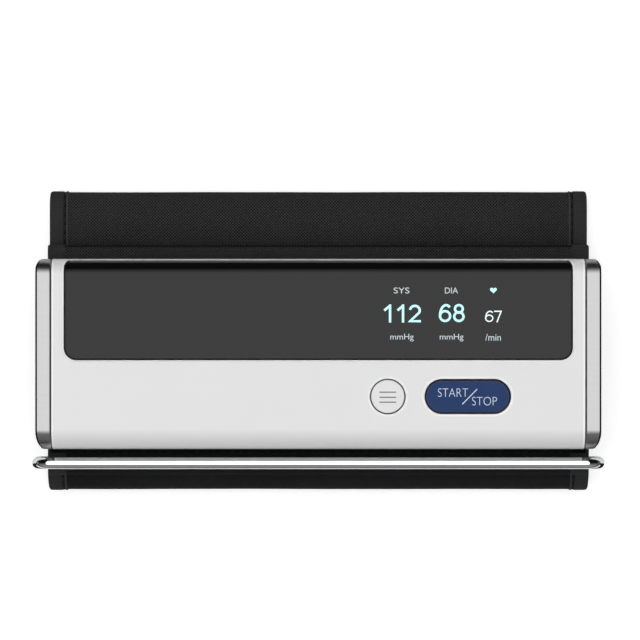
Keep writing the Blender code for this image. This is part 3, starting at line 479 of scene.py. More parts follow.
def lettering(name, words, x, y, height, z, material, bold, width):
    """Flat raised letters centred on (x, y), of one overall height and width."""
    curve = bpy.data.curves.new(name, "FONT")
    curve.body = words
    curve.size = 1.0
    curve.offset = bold
    curve.extrude = 0.01
    curve.resolution_u = 6
    text = bpy.data.objects.new(name + "_curve", curve)
    bpy.context.scene.collection.objects.link(text)
    graph = bpy.context.evaluated_depsgraph_get()
    graph.update()
    mesh = bpy.data.meshes.new_from_object(text.evaluated_get(graph))
    mesh.name = name
    bpy.data.objects.remove(text)
    bpy.data.curves.remove(curve)
    spots = np.empty(len(mesh.vertices) * 3)
    mesh.vertices.foreach_get("co", spots)
    spots = spots.reshape(-1, 3)
    low, high = spots.min(axis=0), spots.max(axis=0)
    scale = np.array((width, height, LETTER_DEPTH)) / (high - low)
    spots = (spots - (low + high) / 2) * scale + np.array((x, y, z))
    mesh.vertices.foreach_set("co", spots.ravel())
    mesh.materials.clear()
    mesh.materials.append(material)
    made = bpy.data.objects.new(name, mesh)
    bpy.context.scene.collection.objects.link(made)
    return made


# ---------------------------------------------------------------- finishes

WHITE = (0.80, 0.80, 0.80)
LENGTHWAYS = (0.05, 1, 1)
MESH_PITCH = 0.83 * MM

shell_look = plastic("shell_plastic", WHITE, 0.34, grain=0.004, variation=0.006)
# Near-black metal on the end caps' outer rounded edge: a painted dark reflection.
cap_reflection_look = metal("cap_edge_dark", (0.012, 0.012, 0.012), 0.42, brushed=0.002, variation=0.1)
cap_look = metal("satin_silver", (0.335, 0.335, 0.335), 0.34, LENGTHWAYS, brushed=0.004, variation=0.03)
lens_look = plastic("lens_gloss", (0.004,) * 3, 0.10, specular=0.265, grain=0.001, variation=0.02)
# A brighter white than the casing, for the lips round the display and the buttons and the strips down
# the casing's ends: painted highlight.
painted_highlight_look = plastic("lip_plastic", (0.97, 0.97, 0.97), 0.25, grain=0.002, variation=0.004)
menu_look = plastic("menu_plastic", WHITE, 0.38, grain=0.004, variation=0.01)
START_BLUE = (0.007, 0.035, 0.135)
start_look = plastic("start_plastic", START_BLUE, 0.50, specular=0.2, grain=0.006, variation=0.03)
rim_look = plastic("start_rim_plastic", (0.006, 0.010, 0.040), 0.28, grain=0.003, variation=0.05)
print_look = plastic("print_pale", (0.62, 0.70, 0.85), 0.5, grain=0.002, variation=0.02)
mark_look = plastic("print_grey", (0.17, 0.17, 0.19), 0.5, grain=0.002, variation=0.02)
band_look = mesh_cloth("band_mesh", (0.042, 0.042, 0.043), (0.003, 0.003, 0.003), MESH_PITCH, 0.14)
# A darker copy of the band's mesh: painted shade on the front fold.
fold_painted_shade_look = mesh_cloth("fold_mesh", (0.025, 0.025, 0.026), (0.001, 0.001, 0.001), MESH_PITCH, 0.30)
tape_look = tape_cloth("binding_tape", (0.028, 0.028, 0.029))
# Near-black for the strips in the gaps round the display glass and the menu button: painted shade.
gap_painted_shade_look = plastic("gasket_rubber", (0.008, 0.008, 0.008), 0.6, specular=0.2, grain=0.01)
# A little lighter binding cloth for the bindings' turned inner edge.
inner_edge_look = tape_cloth("binding_selvage", (0.046, 0.046, 0.047))
# Near-black cloth on the pocket's upper edge and in the bindings' seam grooves: painted shade.
painted_shade_cloth_look = tape_cloth("dark_piping", (0.006, 0.006, 0.006), 0.3 * MM)
thread_look = tape_cloth("thread", (0.030, 0.030, 0.033), 0.12 * MM)
# The band's mesh made darker for the loop round the rod: painted shade between the rod and the unit.
sleeve_painted_shade_look = mesh_cloth("sleeve_mesh", (0.018, 0.018, 0.019), (0.003, 0.003, 0.003), MESH_PITCH, 0.10)
chrome_look = metal("chrome_plate", (0.86, 0.87, 0.88), 0.06, LENGTHWAYS, brushed=0.001, variation=0.01)
glow_look = glow("display_cyan", (0.52, 0.96, 0.96), 1.0)
white_glow_look = glow("display_white", (0.82, 0.97, 0.97), 0.95)
unit_glow_look = glow("display_grey", (0.50, 0.56, 0.58), 1.0)

# Finishes of the CAD nodes that show as themselves, each named after its slot.
CARRIED = (
    plastic("display_black", (0.015, 0.016, 0.018), 0.2, grain=0.002),
    plastic("frame_plastic", (0.05, 0.05, 0.055), 0.5, grain=0.02),
    plastic("switch_black", (0.03, 0.03, 0.03), 0.4, grain=0.02),
    plastic("board_green", (0.02, 0.16, 0.07), 0.35, grain=0.01, variation=0.2),
    metal("battery_foil", (0.55, 0.60, 0.70), 0.35, brushed=0.03, variation=0.1),
    plastic("sensor_grey", (0.20, 0.20, 0.21), 0.45, grain=0.02),
    metal("port_steel", (0.62, 0.62, 0.62), 0.28),
    metal("motor_steel", (0.58, 0.58, 0.57), 0.30, LENGTHWAYS),
    metal("crank_brass", (0.75, 0.56, 0.25), 0.25),
    plastic("pump_plastic", (0.60, 0.60, 0.56), 0.45),
    plastic("cradle_rubber", (0.03, 0.03, 0.03), 0.75, specular=0.3, grain=0.05),
    plastic("valve_plastic", (0.10, 0.10, 0.11), 0.45),
    metal("steel_bright", (0.70, 0.70, 0.70), 0.18),
    plastic("manifold_plastic", (0.45, 0.46, 0.47), 0.45),
    plastic("silicone", (0.62, 0.62, 0.60), 0.55, specular=0.4, grain=0.03),
    plastic("plate_plastic", (0.06, 0.06, 0.065), 0.5, grain=0.03),
    metal("screw_steel", (0.45, 0.45, 0.45), 0.28),
)
film_look = plastic("bladder_film", (0.10, 0.10, 0.12), 0.45, grain=0.03, variation=0.1)
hook_look = tape_cloth("hook_tape", (0.015, 0.015, 0.016), 0.9 * MM)

finish_of_slot = {finish.name: finish for finish in CARRIED}
for spec in frame["record"]["subparts"]:
    if spec["material_slot"] in finish_of_slot:
        node = frame["nodes"][spec["node"]]
        node.data.materials.clear()
        node.data.materials.append(finish_of_slot[spec["material_slot"]])

# ---------------------------------------------------------------- the unit's casing


def unit_section(side=0.0, front=0.0, back=0.0, steps=20):
    """The unit's outline across X as (y, z) points, with each wall moved inwards."""
    corners = (
        (UNIT_TOP_Y, -1, UNIT_FRONT_Z, -1, FRONT_TOP_EDGE, front),
        (UNIT_BOTTOM_Y, 1, UNIT_FRONT_Z, -1, FRONT_BOTTOM_EDGE, front),
        (UNIT_BOTTOM_Y, 1, UNIT_BACK_Z, 1, BACK_BOTTOM_EDGE, back),
        (UNIT_TOP_Y, -1, UNIT_BACK_Z, 1, BACK_TOP_EDGE, back),
    )
    points = []
    for quarter, (y, in_y, z, in_z, (wide, tall), depth) in enumerate(corners):
        centre, start = (y + in_y * wide, z + in_z * tall), quarter * 90
        points += arc(centre, (wide - side, tall - depth), start, start + 90, steps)
    return points


SIDE_WALL, FRONT_WALL, BACK_WALL, END_WALL = 1.8 * MM, 2.9 * MM, 1.7 * MM, 1.8 * MM
SHELL_END = SHELL_HIGH.x
CAVITY_END = SHELL_END - END_WALL
CEILING_Z = UNIT_FRONT_Z - FRONT_WALL
FLOOR_Z = UNIT_BACK_Z + BACK_WALL
FAR = 90 * MM
CASE_SCREWS = [(x, y) for x in (-64.5 * MM, 64.5 * MM) for y in (-21.0 * MM, 13.0 * MM)]
MOUNT_SCREWS = [(x, y) for x in (-61.0 * MM, 61.0 * MM) for y in (-10.0 * MM, 4.0 * MM)]
NOZZLE = (-25.5 * MM, -13.0 * MM)
NOZZLE_HOLE = 2.8 * MM
BOSS_RADIUS, SCREW_HOLE = 2.6 * MM, 1.4 * MM
COLLAR_RADIUS, SCREW_HEAD_HOLE = 3.2 * MM, 2.7 * MM
WINDOW = ((12.0 * MM, -3.2 * MM), (54.0 * MM, 17.0 * MM))
LENS_TOP_Y = 21.4 * MM
CASE_ROUND = 0.14 * MM
PARTING_GAP = 0.15 * MM
PORT_GAP = 0.3 * MM
PORT_CENTRE = (-4.0 * MM, 22.4 * MM)
PORT_HALF = (4.5 * MM, 1.6 * MM)
LENS_OUTLINE_RADII = (2.9 * MM, 2.0 * MM)


def lens_outline(grow=0.0):
    low = (LENS_LOW.x - grow, LENS_LOW.y - grow)
    high = (LENS_HIGH.x + grow, LENS_TOP_Y + grow)
    return rounded_rectangle(low, high, LENS_OUTLINE_RADII[0] + grow, LENS_OUTLINE_RADII[1] + grow)


def shell_body(name, low_z, high_z):
    """The hollow casing between two heights."""
    body = prism(name, unit_section(), "X", -SHELL_END, SHELL_END, shell_look)
    room = prism("room", unit_section(SIDE_WALL, FRONT_WALL, BACK_WALL), "X", -CAVITY_END, CAVITY_END)
    carve(body, "DIFFERENCE", room)
    return carve(body, "INTERSECT", block("keep", (-FAR, -FAR, low_z), (FAR, FAR, high_z)))


def finish_shell(shell, node):
    soften(shell, CASE_ROUND, 3)
    smooth_normals(shell)
    return settle(shell, BODY, "white_shell", node)


def add_boss(shell, x, y, radius, low, high):
    return carve(shell, "UNION", prism("boss", disc(x, y, radius), "Z", low, high))


def make_front_shell():
    shell = shell_body("front_casing", PARTING_Z + PARTING_GAP, UNIT_FRONT_Z + FAR)
    for x, y in CASE_SCREWS:
        add_boss(shell, x, y, BOSS_RADIUS, 19.8 * MM, CEILING_Z + 0.8 * MM)
        drill(shell, disc(x, y, SCREW_HOLE, 32), 18.8 * MM, 27.3 * MM)
    depth = LENS_THICKNESS + LENS_GAP
    seat = prism("seat", lens_outline(LENS_EDGE_GAP), "Z", LENS_LOW.z - LENS_GAP, UNIT_FRONT_Z + 2 * MM)
    carve(seat, "DIFFERENCE", prism("seat_core", unit_section(depth, depth, depth), "X", -FAR, FAR))
    window = block("window", (*WINDOW[0], CEILING_Z - 2 * MM), (*WINDOW[1], UNIT_FRONT_Z + MM))
    carve(shell, "DIFFERENCE", seat, window)
    drill_deep(shell, disc(MENU_X, BUTTON_Y, MENU_RADIUS + 0.16 * MM, 96))
    grow = 0.25 * MM
    drill_deep(shell, stadium(START_X, BUTTON_Y, START_HALF_LENGTH + grow, START_HALF_HEIGHT + grow))
    return finish_shell(shell, "front_shell")


def port_outline(grow):
    return stadium(*PORT_CENTRE, PORT_HALF[0] + grow, PORT_HALF[1] + grow, 16)


def make_rear_shell():
    shell = shell_body("rear_casing", UNIT_BACK_Z - FAR, PARTING_Z - PARTING_GAP)
    outside = UNIT_BACK_Z - MM
    for x, y in CASE_SCREWS:
        add_boss(shell, x, y, COLLAR_RADIUS, FLOOR_Z - 0.8 * MM, FLOOR_Z + 2.4 * MM)
        drill(shell, disc(x, y, SCREW_HEAD_HOLE), outside, UNIT_BACK_Z + 2.2 * MM)
        drill(shell, disc(x, y, SCREW_HOLE, 32), outside, UNIT_BACK_Z + 7 * MM)
    for x, y in MOUNT_SCREWS:
        add_boss(shell, x, y, BOSS_RADIUS, FLOOR_Z - 0.8 * MM, FLOOR_Z + 3.2 * MM)
        drill(shell, disc(x, y, SCREW_HOLE, 32), outside, UNIT_BACK_Z + 4.2 * MM)
    drill(shell, disc(*NOZZLE, NOZZLE_HOLE), outside, UNIT_BACK_Z + 3 * MM)
    carve(shell, "DIFFERENCE", prism("port_hole", port_outline(PORT_GAP), "X", 64 * MM, FAR))
    return finish_shell(shell, "rear_shell")


def make_end_cap(name, side):
    inner, outer = CAP_LOW.x, CAP_HIGH.x
    cap = prism(name, unit_section(steps=28), "X", inner, outer, cap_look)
    top_corner, bottom_corner = CAP_CORNERS
    low_x, top_x = outer - bottom_corner[0], outer - top_corner[0]
    plan = [(inner - MM, UNIT_BOTTOM_Y - MM), (low_x, UNIT_BOTTOM_Y - MM)]
    plan += arc((low_x, UNIT_BOTTOM_Y + bottom_corner[1]), bottom_corner, 270, 360, 24)
    plan += arc((top_x, UNIT_TOP_Y - top_corner[1]), top_corner, 0, 90, 24)
    plan += [(top_x, UNIT_TOP_Y + MM), (inner - MM, UNIT_TOP_Y + MM)]
    carve(cap, "INTERSECT", prism("plan", plan, "Z", UNIT_BACK_Z - MM, UNIT_FRONT_Z + MM))
    # The outer rounded edge of each cap takes the near-black metal, a painted dark reflection; the rest
    # of the cap stays satin silver.
    cap.data.materials.append(cap_reflection_look)
    soften(cap, CAP_ROUND, 5, 50, band=1, clamp=False)
    for face in cap.data.polygons:
        if face.center.x < outer - 2.4 * MM and abs(face.normal.x) < 0.999:
            face.material_index = 0
    walls = unit_section(SIDE_WALL, FRONT_WALL, BACK_WALL)
    carve(cap, "DIFFERENCE", prism("room", walls, "X", inner - MM, inner + 2.2 * MM))
    if side > 0:
        carve(cap, "DIFFERENCE", prism("port_hole", port_outline(PORT_GAP), "X", inner - 2 * MM, FAR))
    soften(cap, 0.10 * MM, 2)
    if side < 0:
        mirror(cap)
    smooth_normals(cap)
    return settle(cap, BODY, "satin_cap", "end_cap_right" if side > 0 else "end_cap_left")


def display_layer(name, sunk, grow, low_z, depth, look, room_grow=None):
    """A skin of the unit's front in the display's outline, hollow inside a smaller outline if given."""
    reach = LENS_HIGH.x + 3 * MM
    layer = prism(name, unit_section(sunk, sunk, sunk, 32), "X", -reach, reach, look)
    carve(layer, "INTERSECT", prism("outline", lens_outline(grow), "Z", low_z, UNIT_FRONT_Z + 2 * MM))
    if room_grow is not None:
        drill(layer, lens_outline(room_grow), LENS_LOW.z - MM, UNIT_FRONT_Z + 3 * MM)
    core = prism("core", unit_section(depth, depth, depth, 32), "X", -FAR, FAR)
    return carve(layer, "DIFFERENCE", core)


def make_lens():
    lens = display_layer("display_glass", 0.0, 0.0, LENS_LOW.z, LENS_THICKNESS, lens_look)
    soften(lens, 0.12 * MM, 3, 40)
    smooth_normals(lens)
    return settle(lens, BODY, "lens_black", "display_lens")


def make_display_gap_shade():
    """A black strip in the joint round the display glass, where the joint only holds shade: painted
    shade.
    """
    grow = LENS_EDGE_GAP - 0.03 * MM
    gap_shade_piece = display_layer(
        "display_gasket", 0.10 * MM, grow, LENS_LOW.z, LENS_THICKNESS, gap_painted_shade_look, 0.03 * MM
    )
    return settle(gap_shade_piece, BODY, "frame_plastic")


def make_display_lip():
    """The thin lip of the front casing round the display opening, in a brighter white than the casing:
    a painted highlight.
    """
    grow, room_grow = LENS_EDGE_GAP + LIP_WIDTH, LENS_EDGE_GAP - 0.01 * MM
    lip = display_layer(
        "display_lip", -LIP_RISE, grow, LENS_LOW.z + MM, LIP_DEPTH, painted_highlight_look, room_grow
    )
    return settle(lip, BODY, "white_shell")


def make_shell_trim(name, side):
    """A thin strip down one end of the front casing, beside the end cap, in a brighter white than the
    casing: a painted highlight.
    """
    near, far = SHELL_END - TRIM_WIDTH, SHELL_END - 0.03 * MM
    trim = prism(name, unit_section(-LIP_RISE, -LIP_RISE, 0.0, 28), "X", near, far, painted_highlight_look)
    core = prism("core", unit_section(LIP_DEPTH, LIP_DEPTH, LIP_DEPTH, 28), "X", -FAR, FAR)
    carve(trim, "DIFFERENCE", core)
    carve(trim, "INTERSECT", block("keep", (-FAR, -FAR, PARTING_Z + 0.4 * MM), (FAR, FAR, FAR)))
    if side < 0:
        mirror(trim)
    smooth_normals(trim)
    return settle(trim, BODY, "white_shell")


# ---------------------------------------------------------------- buttons


def make_key(name, low_z, top_z, face, flange, rounding, segments, look):
    """A button's cap on the wider flange that keeps it behind the casing."""
    cap = prism(name, face, "Z", low_z + FLANGE_CLEARANCE, top_z, look)
    soften(cap, rounding, segments)
    return carve(cap, "UNION", prism("flange", flange, "Z", low_z, low_z + FLANGE_THICKNESS))


def make_menu_button():
    face = disc(MENU_X, BUTTON_Y, MENU_RADIUS - 0.12 * MM, 96)
    flange = disc(MENU_X, BUTTON_Y, MENU_RADIUS + FLANGE_MARGIN, 64)
    cap = make_key("menu_key", MENU_LOW.z, MENU_HIGH.z, face, flange, 0.25 * MM, 4, menu_look)
    smooth_normals(cap)
    settle(cap, "menu_button", "button_white", "menu_button")
    low, high = MENU_HIGH.z - 0.02 * MM, MENU_HIGH.z + 0.012 * MM
    for number, lift in enumerate(MENU_LINE_LIFTS, 1):
        outline = stadium(MENU_X, BUTTON_Y + lift, *MENU_LINE_HALF, 8)
        line = prism(f"menu_mark_{number}", outline, "Z", low, high, mark_look)
        settle(line, "menu_button", "frame_plastic")
    # A black ring in the gap round the menu button: painted shade.
    outline = disc(MENU_X, BUTTON_Y, MENU_RADIUS + 0.15 * MM, 96)
    gap_shade_piece = prism("menu_seal", outline, "Z", UNIT_FRONT_Z - MM, UNIT_FRONT_Z - 0.10 * MM, gap_painted_shade_look)
    room = disc(MENU_X, BUTTON_Y, MENU_RADIUS - 0.08 * MM, 96)
    drill(gap_shade_piece, room, UNIT_FRONT_Z - 2 * MM, UNIT_FRONT_Z + MM)
    settle(gap_shade_piece, BODY, "frame_plastic")


def make_start_button():
    face, flange = (
        stadium(START_X, BUTTON_Y, START_HALF_LENGTH + grow, START_HALF_HEIGHT + grow, steps)
        for grow, steps in ((0.0, 40), (FLANGE_MARGIN, 32))
    )
    cap = make_key("start_key", START_LOW.z, START_HIGH.z, face, flange, 0.40 * MM, 5, start_look)
    cap.data.materials.append(rim_look)
    inner = START_HALF_LENGTH - START_HALF_HEIGHT
    for face in cap.data.polygons:
        beyond = max(abs(face.center.x - START_X) - inner, 0.0)
        if math.hypot(beyond, face.center.y - BUTTON_Y) > START_HALF_HEIGHT - RIM_WIDTH:
            face.material_index = 1
    smooth_normals(cap)
    settle(cap, "start_stop_button", "button_blue", "start_stop_button")


# ---------------------------------------------------------------- what the display and buttons show

GLYPH_Z = UNIT_FRONT_Z + 0.010 * MM
GLYPH_LAYER = (GLYPH_Z - 0.01 * MM, GLYPH_Z + 0.01 * MM)
# The display's words and readings, in mm.
LABELS = (
    # name, words, x, y, height, width
    ("systolic_label", "SYS", 22.04, 13.34, 1.56, 4.16),
    ("diastolic_label", "DIA", 35.26, 13.34, 1.56, 3.47),
    ("systolic_unit", "mmHg", 22.16, 0.86, 2.00, 6.20),
    ("diastolic_unit", "mmHg", 35.31, 0.86, 2.00, 6.28),
    ("pulse_unit", "/min", 46.29, 0.95, 1.85, 4.13),
)
# Digits between the middles of their outer strokes, as open strokes (points) and closed bowls
# (x, y, half width, half height).
DIGITS = {
    "1": (([(0.0, 0.70), (0.95, 0.99)], [(1.0, -0.09), (1.0, 1.09)]), ()),
    "2": ((arc((0.50, 0.70), (0.47, 0.30), 172, -30, 22) + [(0.04, 0.0), (1.08, 0.0)],), ()),
    "6": ((arc((0.60, 0.34), (0.60, 0.66), 180, 52, 24),), ((0.50, 0.31, 0.50, 0.31),)),
    "7": (([(-0.05, 1.0), (0.98, 1.0), (0.36, -0.09)],), ()),
    "8": ((), ((0.50, 0.275, 0.50, 0.275), (0.50, 0.765, 0.42, 0.235))),
}
SYSTOLIC_DIGITS = (("1", -5.04, -2.87), ("1", -1.52, 0.57), ("2", 1.71, 5.07))
DIASTOLIC_DIGITS = (("6", -3.39, -0.11), ("8", 0.37, 3.44))
PULSE_DIGITS = (("6", -2.20, 0.0), ("7", 0.10, 2.25))
VALUES = (
    # name, digits as (digit, left, right), x, y, height, stroke, finish
    ("systolic_value", SYSTOLIC_DIGITS, 22.18, 7.24, 4.68, 0.62, glow_look),
    ("diastolic_value", DIASTOLIC_DIGITS, 35.32, 7.37, 4.80, 0.62, glow_look),
    ("pulse_value", PULSE_DIGITS, 46.37, 6.49, 2.99, 0.32, white_glow_look),
)
HEART = (46.37, 13.42, 0.90, 0.78)
# The start button's words (name, words, x, y, width) in mm, and the stroke between them.
START_WORDS = (("start_word", "START", 35.66, -13.70, 7.94), ("stop_word", "STOP", 44.0, -15.96, 6.6))
SLASH = ((38.12 * MM, -16.79 * MM), (42.06 * MM, -12.77 * MM))


def ribbon_outline(points, half):
    """The outline of a stroke of one width, with mitred bends and square ends."""
    spots = [Vector(point) for point in points]
    runs = [(after - before).normalized() for before, after in zip(spots, spots[1:])]
    sides = ([], [])
    for here, first, second in zip(spots, runs[:1] + runs, runs + runs[-1:]):
        across = Vector((-first.y - second.y, first.x + second.x)).normalized()
        reach = half / max(0.45, across.dot(Vector((-first.y, first.x))))
        sides[0].append(tuple(here + across * reach))
        sides[1].append(tuple(here - across * reach))
    return sides[0] + sides[1][::-1]


def bowl(name, centre, wide, tall, half, look):
    """A closed round stroke."""
    outer, inner = (arc(centre, (wide + grow, tall + grow), 0, 352.5, 47) for grow in (half, -half))
    ring = prism(name, outer, "Z", *GLYPH_LAYER, look)
    return drill(ring, inner, GLYPH_LAYER[0] - 0.1 * MM, GLYPH_LAYER[1] + 0.1 * MM)


def make_value(name, digits, x, y, height, stroke, look):
    """One reading, its digits drawn with strokes of one width."""
    half = stroke / 2
    tall = height - stroke
    parts = []
    for digit, left, right in digits:
        start, wide = x + left + half, right - left - stroke
        strokes, bowls = DIGITS[digit]

        def spot(px, py):
            return (start + px * wide) * MM, (y + (py - 0.5) * tall) * MM

        for line in strokes:
            outline = ribbon_outline([spot(*point) for point in line], half * MM)
            parts.append(prism(name, outline, "Z", *GLYPH_LAYER, look))
        for px, py, half_x, half_y in bowls:
            size = (half_x * wide * MM, half_y * tall * MM)
            parts.append(bowl(name, spot(px, py), *size, half * MM, look))
    whole = parts[0]
    for part in parts[1:]:
        carve(whole, "UNION", part)
    return settle(whole, BODY, "display_black")


def make_heart():
    x, y, wide, tall = HEART
    outline = []
    steps = 48
    for step in range(steps):
        t = 2 * math.pi * step / steps
        lift = 13 * math.cos(t) - 5 * math.cos(2 * t) - 2 * math.cos(3 * t) - math.cos(4 * t)
        outline.append(((x + wide * math.sin(t) ** 3) * MM, (y + tall * lift / 14.5) * MM))
    return settle(prism("pulse_mark", outline, "Z", *GLYPH_LAYER, glow_look), BODY, "display_black")


def make_display_marks():
    for name, words, x, y, height, width in LABELS:
        place = (x * MM, y * MM, height * MM, GLYPH_Z)
        glyph = lettering(name, words, *place, unit_glow_look, 0.0, width * MM)
        settle(glyph, BODY, "display_black")
    for value in VALUES:
        make_value(*value)
    make_heart()


def make_start_words():
    for name, words, x, y, width in START_WORDS:
        place = (x * MM, y * MM, 2.26 * MM, START_HIGH.z + 0.004 * MM)
        word = lettering(name, words, *place, print_look, -0.016, width * MM)
        settle(word, "start_stop_button", "button_white")
    outline = ribbon_outline(SLASH, 0.13 * MM)
    layer = (START_HIGH.z - 0.01 * MM, START_HIGH.z + 0.014 * MM)
    slash = prism("slash_mark", outline, "Z", *layer, print_look)
    settle(slash, "start_stop_button", "button_white")


def make_surround(name, outer, inner):
    """The raised lip of the casing round a button, in a brighter white than the casing: a painted
    highlight.
    """
    low, high = UNIT_FRONT_Z - 0.05 * MM, UNIT_FRONT_Z + 0.05 * MM
    lip = drill(prism(name, outer, "Z", low, high, painted_highlight_look), inner, low - MM, high + MM)
    return settle(lip, BODY, "white_shell")


def make_surrounds():
    make_surround(
        "menu_surround",
        *(disc(MENU_X, BUTTON_Y, MENU_RADIUS + grow, 96) for grow in (0.70 * MM, 0.18 * MM)),
    )
    make_surround("start_surround", *(
        stadium(START_X, BUTTON_Y, START_HALF_LENGTH + grow, START_HALF_HEIGHT + grow, 40)
        for grow in (0.85 * MM, 0.27 * MM)
    ))


# ---------------------------------------------------------------- ring and sleeve

ROD_RADIUS = 1.55 * MM
RING_Y = (RING_LOW.y + RING_HIGH.y) / 2
RING_AXIS_Z = RING_LOW.z + ROD_RADIUS
RING_PITCH = RING_HIGH.z - RING_LOW.z - 2 * ROD_RADIUS
# The sewn tail of the sleeve, as (y, z) points in mm.
SLEEVE_TAIL = (
    (-31.1, 15.55), (-30.2, 15.42), (-28.9, 15.40), (-28.9, 15.95), (-30.2, 16.1), (-30.9, 16.8),
)


def make_ring():
    """One bent rod, swept round its loop."""
    reach = RING_HIGH.x - ROD_RADIUS
    loop = rounded_rectangle((-reach, 0.0), (reach, RING_PITCH), *RING_CORNERS, 14)
    route = walk(loop + loop[:1], 2 * MM)
    shape = bmesh.new()
    sides = 40
    turns = [2 * math.pi * k / sides for k in range(sides)]
    side_way = Vector((0, 1, 0))
    rings = []
    for index, (x, z) in enumerate(route):
        before, after = route[index - 1], route[(index + 1) % len(route)]
        along = Vector((after[0] - before[0], 0.0, after[1] - before[1])).normalized()
        out = side_way.cross(along)
        spot = Vector((x, RING_Y, RING_AXIS_Z + z))
        offsets = [out * math.cos(turn) + side_way * math.sin(turn) for turn in turns]
        rings.append([shape.verts.new(spot + offset * ROD_RADIUS) for offset in offsets])
    ring_faces(shape, rings + rings[:1])
    bmesh.ops.recalc_face_normals(shape, faces=shape.faces)
    ring = add_mesh("chrome_loop", shape, chrome_look, 60)
    return settle(ring, "slot_ring", "ring_chrome", "slot_ring")


def sleeve_piece(name, grow, ends, bore, rounding, look):
    """The loop of cloth round the rod, drawn out to the seam beside the pocket."""
    centre = (RING_Y - 0.10 * MM, RING_AXIS_Z)
    loop = arc(centre, (3.3 * MM + grow, 2.45 * MM + grow), 40, 290, 40)
    piece = prism(name, loop + [(y * MM, z * MM) for y, z in SLEEVE_TAIL], "X", *ends, look)
    hole = prism("bore", arc((RING_Y, RING_AXIS_Z), (bore, bore), 0, 354, 47), "X", -FAR, FAR)
    carve(piece, "DIFFERENCE", hole)
    soften(piece, rounding, 3, 50)
    return box_map(piece)


def make_sleeve():
    half = SLEEVE_HALF_LENGTH
    sleeve = sleeve_piece("ring_loop_cloth", 0.0, (-half, half), 1.9 * MM, 0.35 * MM, sleeve_painted_shade_look)
    settle(sleeve, BODY, "sleeve_fabric", "ring_sleeve")
    margin = 2 * MM
    places = []
    for k in range(int((2 * half - 2 * margin) / STITCH_PITCH)):
        spot = (-half + margin + (k + 0.5) * STITCH_PITCH, -30.2 * MM, 16.12 * MM)
        places.append((spot, (1, 0, 0), (0, -0.25, 1)))
    sew("ring_loop_stitches", places, 0.13 * MM, "sleeve_fabric")
    for name, side in SIDES:
        ends = sorted((side * (half - 4.4 * MM), side * (half + 0.15 * MM)))
        name = "ring_loop_binding_" + name
        tape = sleeve_piece(name, 0.14 * MM, ends, 1.88 * MM, 0.30 * MM, tape_look)
        settle(tape, BODY, "binding_tape")


# ---------------------------------------------------------------- the rolled cuff

POCKET_LOW = Vector((-73.2, -26.5, 8.1)) * MM
POCKET_HIGH = Vector((73.2, 25.9, 15.0)) * MM
POCKET_ROOM = (Vector((-66.0, -24.0, 9.3)) * MM, Vector((66.0, 23.2, 13.8)) * MM)
POCKET_FRONT = (13.3 * MM, 16.3 * MM)
TURN_PITCH = 1.6 * MM
CUFF_END = BIND_HIGH.x
BINDING_INNER = BIND_LOW.x
CUFF_BOTTOM_Y, CUFF_TOP_Y = BIND_LOW.y, BIND_HIGH.y
BAND_HALF = 0.50 * MM
BINDING_HALF = 0.75 * MM
BAND_END_Y = 8.0 * MM
GROOVE_DEPTH = 0.26 * MM
STITCH_INSET = 0.82 * MM


def turn_z(number):
    """Height of the middle of one of the five turns, counted from the table."""
    return BINDING_HALF + number * TURN_PITCH


def fold_arcs():
    """The roll's folds in order from the pocket inwards, each as (y, z, radius, start angle)."""
    front = POCKET_HIGH.z - BINDING_HALF
    first_radius = (front - turn_z(0)) / 2
    first_y = CUFF_BOTTOM_Y + first_radius + BINDING_HALF
    top_y = CUFF_TOP_Y - (turn_z(4) - turn_z(0)) / 2 - BINDING_HALF
    inner_y = first_y + 0.4 * MM
    folds = ((first_y, turn_z(0), front), (top_y, turn_z(0), turn_z(4)))
    folds += ((inner_y, turn_z(1), turn_z(4)), (top_y, turn_z(1), turn_z(3)))
    folds += ((inner_y, turn_z(2), turn_z(3)),)
    return [
        (y, (high + low) / 2, (high - low) / 2, (90, 270)[number % 2])
        for number, (y, low, high) in enumerate(folds)
    ]


def roll_path(end_y):
    """The middle of the band from the pocket, round its folds, to its free end, in short steps."""
    corners = [(POCKET_LOW.y - 0.1 * MM, POCKET_HIGH.z - BINDING_HALF)]
    for y, z, radius, start in fold_arcs():
        corners += arc((y, z), (radius, radius), start, start + 180, 28 if radius > 2 * MM else 16)
    corners.append((end_y, turn_z(2)))
    return walk(corners, 2.5 * MM) + [corners[-1]]


def ripple(x, s):
    """How far the cloth wanders from flat: long soft waves that fade towards its bound edges."""
    fade = max(0.0, 1.0 - (abs(x) / (68.2 * MM)) ** 8)
    wave = math.sin(x * 95 + s * 40) * 0.5 + math.sin(x * 41 - s * 130 + 1.3) * 0.35
    wave += math.sin(x * 230 + s * 85 + 0.6) * 0.15
    return 0.06 * MM * wave * fade


def make_band():
    path = roll_path(BAND_END_Y)
    half_width = BINDING_INNER + 0.6 * MM
    columns = 60
    across = [-half_width + 2 * half_width * k / columns for k in range(columns + 1)]

    def profile(index, s):
        shift = [ripple(x, s) for x in across]
        top = [(x, BAND_HALF + d) for x, d in zip(across, shift)]
        return top + [(x, -BAND_HALF + d) for x, d in zip(across, shift)][::-1]

    band = sweep("cuff_cloth", path, profile, band_look)
    # The faces in front of FOLD_SHADE_Y take the darker mesh: painted shade.
    band.data.materials.append(fold_painted_shade_look)
    for face in band.data.polygons:
        if face.center.y < FOLD_SHADE_Y:
            face.material_index = 1
    settle(band, BODY, "band_fabric", "cuff_band")
    return band, sum(math.dist(a, b) for a, b in zip(path, path[1:])), half_width * 2


